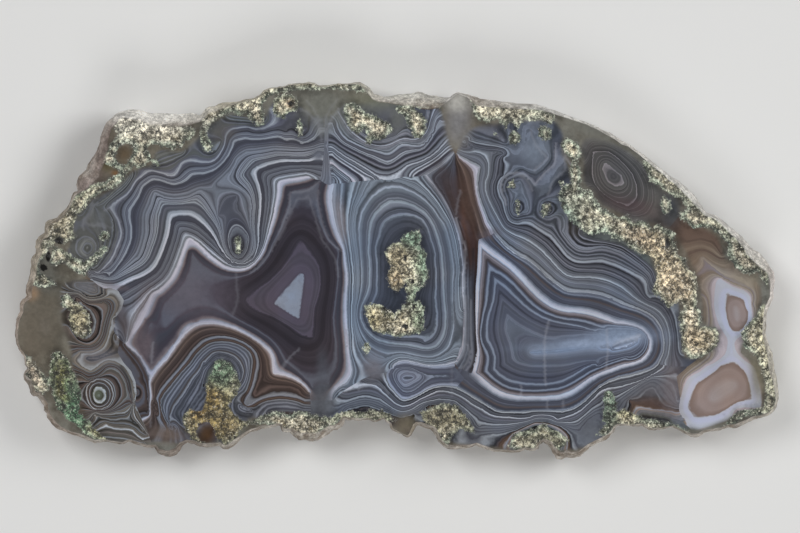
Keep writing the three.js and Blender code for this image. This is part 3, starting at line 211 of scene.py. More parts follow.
# The parts of the stone, each over the ones before it.
PARTS = [
    (7, [*pairs("328,180 344,180 344,187 328,187")]),
    (15, [*pairs("668,362 692,362 692,374 668,374")]),
    (7, [*pairs("376,366 394,366 394,376 376,376")]),
    (15, [*pairs("680,412 690,412 690,428 680,428")]),
    (1, [*pairs("88,277 80,270 70,264 62,256 66,246 71,232 69,222 76,211 84,203 94,196 106,190 117,184 124,175 132,168 142,165 152,163 152,152 158,146 170,148 182,150 192,140 199,134 203,126 213,120 228,112 240,113 255,118 264,116 270,100 285,96 300,104 312,112 322,114 324,130 324,150 322,172 320,180 308,178"), ("WA_top", (308, 177), (188, 238)), ("WA_left", (188, 238), (127, 344)), *pairs("118,338 110,330 112,316 121,306 122,298 117,291 110,288 102,289 94,283")]),
    (3, [("WA_left", (127, 344), (273.5, 373)), *pairs("270,386 266,400 268,412 250,420 240,428 226,442 200,446 172,444 150,442 147,432 140,418 134,402 136,392 134,381 129,371 122,363 115,352 112,344 118,338")]),
    (3, [("WA_left", (273.5, 373), (309, 391)), *pairs("311,400 312,420 270,424 250,416 247,405 254,396 262,385")]),
    (16, [*pairs("58,284 66,279 78,277 92,280 98,285 104,288 110,287.5 117.5,290 123.5,300 121,309 115,317 113,330 119,340 117,352 123,362 130.5,370.5 135,381 136,392 134.5,403 140,416 148,433 152,446 120,446 100,442 84,424 76,402 74,382 70,372 70,356 64,338 58,320 58,300")]),
    (6, [*pairs("327,116 340,104 380,98 420,100 440,104 446,120 450,140 454,153"), ("WB1", (453.3, 152.9), (426.8, 174.3)), *pairs("418,176 403,176.3 390,179.3 374,179.2 357,181 348,182 340,183 331,183 329,165 328,150 327.5,130")]),
    (17, [*pairs("323,112 327,112 328,130 328,150 329.5,165 332,183 326,187 319,182 321.5,170 323.5,150 324,130")]),
    (7, [("WA_right", (332, 182), (332, 395)), *pairs("332,400 345,389 355,383 363,378 374,374 386,372 386,367 393.5,367.3"), ("WB3", (393.5, 367.3), (454.2, 362.9)), ("WB2", (454.2, 362.9), (426.8, 174.3)), *pairs("418,176 403,176.3 390,179.3 374,179.2 357,181 348,182 340,183")]),
    (15, [*pairs("310,400 332,400 345,389 355,383 363,378 374,374 386,373"), ("WF", (386, 374), (496.2, 410.6)), ("WR2", (496.2, 410.6), (656, 363)), *pairs("664,362 672,366 682,372 682,400 682,420 690,432 640,432 612,440 575,452 520,452 478,448 420,440 380,424 340,424 311,424")]),
    (8, [("WF", (393.5, 367.3), (456, 385.2)), *pairs("468,389 464,378 458,370 454,363"), ("WB3", (454.2, 362.9), (393.5, 367.3))]),
    (11, [*pairs("456.4,152.9 458,140 466,128 480,122 500,120 530,118 556,118 566,134 562,150 570,165 575,190 590,215 620,235 650,252 662,280 680,300 684,330 684,356 700,356 690,366 672,366 660,364"), ("WR2", (656.3, 362.9), (479.2, 166.8)), ("WR1", (479.2, 166.8), (456.4, 152.9))]),
    (10, [("WR2", (498, 236.8), (496.2, 410.6)), ("WF", (496.2, 410.6), (456, 385.2)), *pairs("464,378 454,366 462,340 464,300 463,262 470,240 480,228")]),
    (9, [("WB1", (453.3, 152.9), (426.8, 174.3)), ("WB2", (426.8, 174.3), (454.2, 362.9)), *pairs("458,368 470.5,373"), ("WCl", (470.5, 373), (477, 239)), ("WR2", (498, 236.8), (479.2, 166.8)), ("WR1", (479.2, 166.8), (456.4, 152.9))]),
    (18, ["WC"]),
    (12, [*pairs("577,150 582,136 596,134 612,140 630,150 646,164 656,180 664,190 672,196 678,206 684,214 676,222 668,228 652,224 636,226 618,214 600,206 590,190 581,186 580,170 582,158")]),
    (13, [*pairs("668,228 678,216 690,222 706,226 720,236 726,256 740,266 752,274 762,284 764,300 756,318 748,332 740,352 752,360 764,384 764,410 740,414 700,432 684,424 680,400 676,376 690,364 706,352 716,345 718,330 700,325 700,300 696,276 688,262 680,246")]),
    (14, ["hr2"]),
    (2, [("WA_left", (188, 238), (309, 391)), *pairs("310,400 332,400"), ("WA_right", (332, 395), (332, 182)), *pairs("326,184 320,180 308,177"), ("WA_top", (308, 177), (188, 238))]),
]

# Which line has which level t in which part, at its start and at its end.
LEVELS_T = [
    (1, "WA_left", 0, 0),
    (1, "WA_top", 0, 0),
    (1, "L5", -19.5, -19.5),
    (1, "L4", -32, -32),
    (1, "L3", -42, -42),
    (1, "L2", -57, -57),
    (1, "L2b", -57, -57),
    (1, "L1a", -68, -68),
    (1, "L1b", -68, -68),
    (1, "L0a", -83.4, -83.4),
    (1, "L0b", -76, -76),
    (1, "Lb0", -66, -66),
    (1, "Linc", -76, -76),
    (1, "T1", -62, -62),
    (1, pairs("236,240 237,250"), -70, -70),
    (1, "P1", -88, -88),
    (1, pairs("86.5,247 86.5,248"), -94, -94),
    (1, pairs("81.5,249.5 84.5,243.5 87,241 90,242 92.5,246 92.5,249.5 89,252 86.5,254 84,252 81.5,249.5"), -90, -90),
    (1, pairs("218,215 226,200 236,196"), -50, -50),
    (1, pairs("88,277 80,270 70,264"), -80, -80),
    (1, pairs("126,168 116,176 104,187 94,195 86,204 80,214"), -88, -88),
    (1, pairs("152,163 152,152 170,148 182,150"), -84, -84),
    (1, pairs("228,114 255,118 264,116"), -80, -80),
    (1, pairs("300,134 306,128"), -68, -68),
    (1, "l1", -36, -36),
    (1, pairs("112,330 118,338 124,341"), -26, -14),
    (1, pairs("91,274 104,278 111,278 114,278 129,270 136,266"), -32, -32),
    (2, "WA_left", 0, 0),
    (2, "WA_top", 0, 0),
    (2, "WA_right", 0, 0),
    (2, "A_alpha", 9.5, 9.5),
    (2, "A_alpha2", 9.5, 9.5),
    (2, "A_core", 30, 30),
    (2, pairs("308,177 314,178.5 319,180.5"), 0, 7),
    (2, pairs("291.8,191.3 300,190 308,188.5 314,186 318.4,183"), 9.5, 9.5),
    (1, pairs("308,177 314,178.5 319,180"), 0, -6),
    (2, "A_tri", 42, 42),
    (2, pairs("150,322 147,335 147,350 148.5,360"), 9.5, 6),
    (2, pairs("292,295 297,300"), 42.4, 42.4),
    (2, pairs("144,318 136.5,331 132,343 138,351 146,362 151,369 157,361.5 166,350.5 174,342 182,333.5 190,326 197,320.5"), 3, 3),
    (3, "WA_left", 0, 0),
    (3, "m1", 13.5, 13.5),
    (3, "m3", 20, 20),
    (3, "m4", 30, 30),
    (3, pairs("205,388 210,368 218,360 230,362 238,378"), 38, 38),
    (3, "seam", -14, -14),
    (3, pairs("122,363 129,371 134,381 136,392 134,402"), -14, -14),
    (3, pairs("120,346 129,359 137,370 140,376"), -6, -6),
    (3, pairs("152,383 154,398 156,414"), 4, 4),
    (3, pairs("144.5,383 146.5,398 148,414"), -5, -5),
    (3, pairs("262,378 259,386 254,394"), 9, 9),
    (3, pairs("204,362 200,374 193,386 187,396 181,406 176,415"), 32.6, 32.6),
    (3, pairs("206,384 200,394 193,404 187,414 182,422"), 36, 36),
    (3, pairs("262,392 270,386 290,386 300,390"), 11, 11),
    (3, pairs("240,405 250,410"), 26, 26),
    (3, "s1", 21, 21),
    (3, pairs("268,412 290,412 311,414"), 28, 28),
    (6, "u0", 0, 0),
    (6, "u1", 6.5, 6.5),
    (6, "u2", 17.5, 17.5),
    (6, "u3", 25, 25),
    (6, "u4", 33, 33),
    (6, "WB1", 33, 33),
    (6, pairs("331,168 336,174 344,180 348,182"), 41, 41),
    (6, pairs("330.5,176 333.5,180.5"), 47, 47),
    (6, pairs("392,179 400,177.5 413,176.3 426,174.5"), 19, 33),
    (6, pairs("379,179.4 373,179.6"), 19, 25),
    (6, pairs("373,179.6 357,182"), 25, 33),
    (6, pairs("345,108 362,130 375,140 395,134 404,118"), -14, -14),
    (6, pairs("412,134 422,128 424,110"), -14, -14),
    (17, pairs("323,112 324,130 323.5,150 321.5,170 319,182"), 0, 0),
    (17, pairs("327,112 328,130 328,150 329.5,165 332,183"), 11.5, 11.5),
    (7, "WA_right", 0, 0),
    (7, "bl1", 9, 9),
    (7, "bl3", 15.5, 15.5),
    (7, "tb", 17, 17),
    (7, "tb2", 17, 17),
    (7, "rb1", 24.5, 24.5),
    (7, "rb2", 31.5, 31.5),
    (7, "WB2", 0, 0),
    (7, "WB3", 0, 0),
    (7, pairs("385,180 400,177 415,176 426,174.5"), 16.5, 0),
    (7, pairs("395,255 405,240 418,240 420,262 422,275 414,290 404,290 394,275"), 44, 44),
    (7, pairs("372,315 390,325 405,322 416,310"), 44, 44),
    (7, pairs("354,180.5 371,180"), 9, 15.5),
    (7, pairs("371,180 385,180"), 15.5, 16.5),
    (8, "WF", 0, 0),
    (8, "WB3", 0, 0),
    (8, "F1", 4, 4),
    (8, "F2", 8, 8),
    (8, "F3", 13, 13),
    (8, pairs("402,378 412,377"), 17, 17),
    (9, "WB1", 0, 0),
    (9, "WB2", 0, 0),
    (9, "WCl", 11, 11),
    (9, "WR2", 22, 22),
    (9, "WR1", 22, 22),
    (9, pairs("436,178 445,171 452,162"), 5, 5),
    (9, pairs("434,180 442,190 449,203 454,218"), 4, 4),
    (9, pairs("455,165 457,190 458,215"), 9, 9),
    (9, pairs("470,175 472,200 476,225 477,238"), 18, 12),
    (10, "WC", 0, 0),
    (10, "WR2", -14, -11),
    (10, "WF", -11, -11),
    (10, pairs("456,366 464,350 465,320"), -9, -9),
    (18, "WC", 0, 0),
    (18, "c1", 9, 9),
    (18, "c1b", 9, 9),
    (18, "c2", 15, 15),
    (18, "c2b", 15, 15),
    (18, "c3", 32, 32),
    (18, pairs("478,240 490,267.5"), 0, 9),
    (18, pairs("490,267.5 494.4,278.3"), 9, 15),
    (18, pairs("494.4,278.3 508.2,318.5"), 15, 32),
    (18, pairs("471,373 486.4,370.9"), 0, 9),
    (18, pairs("486.4,370.9 493.1,369.1"), 9, 15),
    (18, pairs("493.1,369.1 514.5,357.5"), 15, 32),
    (18, pairs("530,352 545,351.5 560,350 575,347.5 590,345 598,343.5"), 46, 46),
    (18, pairs("600,347 612,343 622,340 633,338 640,337"), 52, 52),
    (18, pairs("612,349 626,346.5 637,341"), 56, 56),
    (11, "WR1", 0, 0),
    (11, "WR2", 0, 0),
    (11, "g0", 11, 11),
    (11, "g1", 25, 25),
    (11, "g2", 36, 36),
    (11, "v1", 27, 27),
    (11, "v1b", 30, 30),
    (11, "v1c", 36, 36),
    (11, "v2", 31, 31),
    (11, "v3", 12, 12),
    (11, pairs("512,160 528,160 540,158"), 26.2, 26.2),
    (11, pairs("462,148 470,146.5 480,147 488,148.5"), 18, 19),
    (11, pairs("463,142 472,140 484,142 500,145 508,147 512,152 516,154 521,150 525,141 528,133 531,127"), 27, 27),
    (11, pairs("470,128 480,130 490,134 500,138 505,142"), 34, 34),
    (11, pairs("526.9,130 530,129.3 531.3,134.6 534.9,141.8 539.4,148.9 547.4,156.1 539.4,165 534,169 526.9,166.8 515,163 503,158 510,156 519,153 524,146 526.9,130"), 26.2, 26.2),
    (11, pairs("528,140 530,150 528,158"), 26.2, 26.2),
    (11, pairs("580,232 600,239 622,243 640,256 654,268 657,282"), 46, 46),
    (11, pairs("667,300 676,316 680,335 682,352"), 24, 30),
    (11, pairs("511,185 511.5,186"), 44, 44),
    (11, pairs("516,205 516,212"), 46, 46),
    (11, pairs("545,205 548,212"), 46, 46),
    (12, pairs("603.5,162.5 606.5,162.8 612,168.2 616.5,172.5 620.6,174.3 622.3,179 623.8,183.8 619.5,184.6 615.5,186 611,183.2 607.5,181.5 604.6,175 601.8,168 602.6,165 603.5,162.5"), 0, 0),
    (12, pairs("612,174 614,177"), 6, 6),
    (12, pairs("591.8,150.8 600,150.6 608,150.8 613,154 619,159 626,166 632,174 636,184 637,196 632,203 627,206 612,200 602,193 594,184 591.8,172 591.8,150.8"), -14, -14),
    (12, pairs("580,165 583,152 590,140 604,140 622,149 640,162 652,180 656,200 650,216 634,218 616,209 602,201 592,187"), -32, -32),
    (13, "o1", 0, 0),
    (13, "hr2", 8, 8),
    (13, pairs("686,240 700,236 714,240 722,254"), -20, -20),
    (13, pairs("700,300 702,322"), -12, -8),
    (13, pairs("706,352 690,364 676,376 680,400 684,424"), -9, -9),
    (13, pairs("752,360 764,384 764,410"), -10, -10),
    (13, pairs("760,285 762,300 757,315"), -10, -10),
    (14, "hr2", 0, 0),
    (14, "hc1", 9.5, 9.5),
    (14, "hc2", 9.5, 9.5),
    (14, pairs("735,306 737,320"), 22, 22),
    (14, pairs("712,398 724,388 734,384"), 26, 26),
    (14, pairs("731,338 731,352"), 4.5, 4.5),
    (15, "WF", 0, 0),
    (15, "WR2", 0, 0),
    (15, "n2", 8, 8),
    (15, "n1", 15, 15),
    (15, "w3", 7, 7),
    (15, "q1", 22, 22),
    (15, "q2", 20, 20),
    (15, "q3", 24, 24),
    (15, "q0", 16, 16),
    (15, pairs("346,410 366,406 384,412 400,418 414,414"), 23, 23),
    (15, pairs("425,406 445,404 460,412 466,422"), 24, 24),
    (15, pairs("515,436 535,426 550,428 562,438"), 30, 30),
    (15, pairs("606,400 610,415"), 18, 18),
    (15, pairs("612,401 622,395 632,388 642,381 652,376.5 658,376.6"), 16, 16),
    (15, pairs("624,401 634,394 644,386 652,382 657,385 661,393 668,401"), 20, 20),
    (15, pairs("640,397 647,390 652,388 655,393 658,398"), 22.5, 22.5),
    (15, pairs("640,415 655,418 668,420"), 30, 30),
    (15, pairs("583,413 588,408 594,403 601,399"), 13, 13),
    (15, pairs("367,377.5 373,376 380,375.5"), 3, 2),
    (16, "tongue", -8, -8),
    (16, pairs("76,284 90,288 96,291"), -12, -12),
    (16, "l1", 0, 0),
    (16, "l2", 11, 11),
    (16, "l3", 18, 18),
    (16, "l4", 0, 0),
    (16, "l5", 9, 9),
    (16, "l8", 20, 20),
    (16, "l9", 28, 28),
    (16, pairs("98,394 98,395"), 33, 33),
    (16, "l6", -7, -7),
    (16, "l7", -13, -13),
    (16, "seam", -20, -20),
    (16, pairs("78,310 82,325"), 24, 24),
    (16, pairs("90,437 120,440 145,443"), -22, -22),
    (16, pairs("114,318 116,338"), -6, -6),
    (16, pairs("86,357 96,358 106,354 114,350"), -3, -3),
]

# Stretches where the bands between two lines keep their corners.
BETWEEN = [
    (1, ('L5', (142, 275), (170, 213), -19.5), ('WA_left', (155, 292), (188, 238), 0), 3),
    (1, ('L5', (170, 213), (252.5, 171), -19.5), ('WA_top', (188, 238), (279, 181), 0), 3),
    (1, ('L5', (252.5, 171), (303, 160.5), -19.5), ('WA_top', (279, 181), (308, 177), 0), 3),
    (1, ('L4', (150, 250), (161.6, 200.7), -32), ('L5', (158, 258.6), (170, 213), -19.5), 2),
    (1, ('L4', (161.6, 200.7), (240.2, 175), -32), ('L5', (170, 213), (252.5, 171), -19.5), 2),
    (1, ('L4', (240.2, 175), (318, 149.8), -32), ('L5', (252.5, 171), (318.6, 152.5), -19.5), 2),
    (1, ('L3', (142, 250.2), (156.7, 190.4), -42), ('L4', (150, 250), (161.6, 200.7), -32), 2),
    (1, ('L3', (156.7, 190.4), (199.6, 190.4), -42), ('L4', (161.6, 200.7), (194.6, 198.9), -32), 2),
    (2, ('WA_top', (188, 238), (279, 181), 0), ('A_alpha', (196, 256), (290, 191), 9.5), 1),
    (2, ('WA_left', (188, 238), (152, 295), 0), ('A_alpha', (195.5, 256.9), (163.4, 302.4), 9.5), 1),
    (11, ('v1', (512.3, 172.1), (512.3, 220.3), 27), ('g0', (486.4, 179.7), (505, 227), 11), 2),
]

# The mossy growths and the crust.
GROWTHS = [
    pairs("112,124 120,114 134,109 150,109 176,111 196,112 206,103 212,108 204,118 190,122 160,124 134,126 116,132"),
    pairs("200,112 206,102 222,97 244,94 250,86 262,84 266,92 250,98 230,104 210,112"),
    pairs("98,134 108,120 118,110 132,106 150,110 168,110 184,110 198,114 203,126 199,128 200,140 204,150 211,151 212,146 208,138 207,130 214,121 222,115 232,112 238,116 246,113 250,121 258,126 264,124 263,110 262,103 268,96 280,92 300,90 330,88 370,92 372,84 330,76 260,78 250,92 228,98 205,104 198,110 190,104 150,102 118,102 96,120"),
    pairs("113,138 120,128 140,118 170,122 196,128 192,138 186,140 182,148 176,146 172,150 166,146 160,147 158,144 152,143 147,147 147,153 151,157 157,162 160,165 156,165 150,160 144,166 138,168 134,166 130,170 126,174 123,180 118,184 112,188 104,190 96,196 88,200 84,208 78,212 74,222 72,230 76,236 72,240 64,243 58,240 50,244 46,254 38,262 40,272 48,276 56,284 44,288 30,284 22,280 22,250 36,226 50,214 66,204 76,194 88,186 100,182 112,176 120,172 112,166 104,164 102,158 108,148"),
    pairs("52,246 60,246 66,251 72,256 80,260 84,262 90,256 98,250 103,245 108,246 104,254 96,262 89,268 84,275 76,272 68,266 62,262 54,266 48,262"),
    pairs("100,232 105,230 110,233 109,239 104,241 99,238"),
    pairs("234,238 238,235 241,240 241,250 238,255 234,250"),
    pairs("273,100 280,94 290,92 297,98 297,110 288,112 284,118 276,116 271,110"),
    pairs("295,121 300,119 303,126 302,134 298,136 296,130"),
    pairs("343,104 352,102 360,106 366,112 374,114 380,118 390,122 392,130 386,137 378,140 372,138 370,144 365,142 366,132 362,128 360,134 354,134 348,126 344,116"),
    pairs("395,106 404,104 412,106 420,112 426,120 425,132 420,139 413,138 410,130 406,124 404,116 397,113"),
    pairs("380,92 400,90 430,94 448,96 440,106 420,108 400,104 384,98"),
    pairs("470,98 490,100 520,104 540,108 556,116 550,124 540,118 530,122 522,118 518,128 510,120 504,130 498,118 488,122 480,120 472,112"),
    pairs("508,132 514,130 519,134 519,141 514,145 508,142"),
    pairs("537,128 544,124 551,129 551,137 545,141 538,137"),
    pairs("493,131 497,131 497,135 493,135"),
    pairs("508,181 513,179 516,184 513,189 508,188"),
    pairs("515,201 518,199 520,205 519,214 515,213"),
    pairs("541,206 546,201 551,204 549,211 544,217 540,213"),
    pairs("559,181 563,180 565,184 561,186"),
    pairs("560,144 566,138 576,141 582,154 576,160 581,170 580,184 582,190 590,189 596,200 602,209 608,210 618,217 627,214 632,222 640,220 648,222 652,228 658,222 666,229 675,232 674,242 678,254 686,258 687,268 696,275 697,290 696,305 701,312 700,325 716,327 719,340 713,350 702,357 690,358 683,351 681,345 680,330 678,315 684,308 680,300 668,308 662,300 655,294 651,290 655,280 657,268 652,256 640,253 630,248 622,241 612,237 604,232 592,234 580,230 570,220 562,210 558,195 561,186 570,182 568,168 572,160 564,152"),
    pairs("640,160 650,158 662,168 674,178 686,188 696,202 708,212 722,222 736,236 748,250 760,258 770,272 766,284 756,272 744,274 734,266 726,252 728,244 716,232 706,226 694,228 682,220 678,214 686,208 680,198 670,194 660,186 650,182 646,172"),
    pairs("660,198 665,195 670,200 671,208 668,216 663,212 660,206"),
    pairs("762,300 768,308 766,330 772,350 776,372 778,395 774,410 760,414 745,416 735,424 724,426 728,418 738,410 752,408 764,406 766,390 762,372 756,356 744,346 740,332 748,322 756,316"),
    pairs("615,410 624,408 634,414 646,418 660,420 676,424 690,432 676,434 650,432 630,428 618,426 606,436 596,434 604,424"),
    pairs("603,392 608,389 613,393 616,402 616,416 610,425 602,420 603,408"),
    pairs("512,434 524,430 534,428 542,422 550,428 560,432 568,440 560,450 540,448 520,452 508,446"),
    pairs("420,412 432,405 446,402 458,406 464,414 472,424 474,434 460,428 452,436 448,448 438,442 432,428 422,420"),
    pairs("334,414 350,409 362,412 370,409 382,410 390,414 396,420 380,422 350,420 336,421"),
    pairs("262,414 276,410 288,414 300,410 312,414 326,416 340,416 336,424 322,430 316,440 300,440 286,436 278,428 266,424 250,424 240,430 234,444 226,448 220,440 214,446 200,444 190,438 184,428 182,416 190,408 200,412 204,404 206,394 204,384 212,370 215,360 222,358 230,364 236,372 240,384 236,396 228,404 232,412 242,420 254,420"),
    pairs("52,352 58,350 65,356 70,366 76,376 80,390 80,404 78,412 88,420 96,430 106,438 112,442 98,442 86,434 76,425 66,418 56,407 52,394 48,380 49,366"),
    pairs("60,296 67,294 74,299 82,306 88,313 90,322 90,333 84,338 76,336 70,328 68,318 69,310 61,305"),
    pairs("22,352 30,356 38,368 46,376 50,388 44,394 34,390 26,378 22,366"),
    pairs("363,344 367,342 370,346 369,352 365,354 362,350"),
    pairs("404,235 409,231 415,230 420,229 421,238 420,246 426,254 424.8,264 427.9,270.2 428.3,277.4 423.9,283.6 420.3,289 414,293.5 415.8,299.7 420.3,301.5 423.9,307.8 423.4,314 423.9,328.3 420.3,332.8 409.6,335.4 399.7,336.3 394.1,337.2 388.7,333.7 382.5,334.6 376.2,331.9 370.9,328.3 367.3,321.1 364.6,312.2 364.6,305.1 370.9,303.3 380.7,304.2 388.7,309.5 394.1,313.1 399.4,308.6 405.5,301 407,294 404,288 406,283 397.6,290.8 393.2,289.9 388.7,285.4 386.9,277.4 387.8,271.1 390.5,264.9 386.9,259.5 383.4,255.1 386,248.4 390.5,243.1 399.4,240.4"),
]
# Smooth bare places in them.
BARE = [
    pairs("198,424 209,420 213,428 217,440 213,446 200,440 196,432"),
    pairs("117,148 124,143 131,144 133,150 129,160 124,165 117,162 114,155"),
]

# Named tones of the stone, as display values.
TONES = {
    "plum0": (47, 43, 50), "plum1": (56, 52, 60), "plum2": (66, 62, 72),
    "mauve1": (75, 71, 81), "mauve2": (84, 78, 91), "slate0": (60, 62, 72),
    "slate1": (72, 74, 86), "slate2": (82, 85, 98), "grey1": (92, 95, 107),
    "grey2": (102, 107, 120), "grey3": (112, 118, 132), "grey4": (122, 128, 143),
    "pale1": (133, 140, 154), "pale2": (148, 154, 168), "pale3": (162, 166, 181),
    "white": (175, 178, 194), "blue1": (120, 132, 153), "blue2": (140, 152, 176),
    "blue3": (160, 170, 192), "brown0": (52, 45, 46), "brown1": (66, 59, 60),
    "brown2": (80, 72, 73), "brown3": (98, 88, 86), "pink1": (114, 106, 110),
    "pink2": (132, 124, 128), "rust": (74, 50, 38), "ochre": (112, 92, 66),
    "olive": (66, 66, 58), "green1": (78, 84, 84), "green2": (96, 104, 106),
    "tan1": (98, 84, 76), "tan2": (120, 108, 96), "tan3": (142, 132, 122),
    "flesh1": (128, 112, 108), "flesh2": (145, 131, 130), "flesh3": (154, 144, 146),
    "lilac": (172, 172, 184), "lilac2": (180, 179, 191), "black": (16, 16, 18), "sage": (94, 98, 103),
    "taupe1": (74, 71, 72), "taupe2": (86, 83, 83), "taupe3": (98, 95, 95),
}

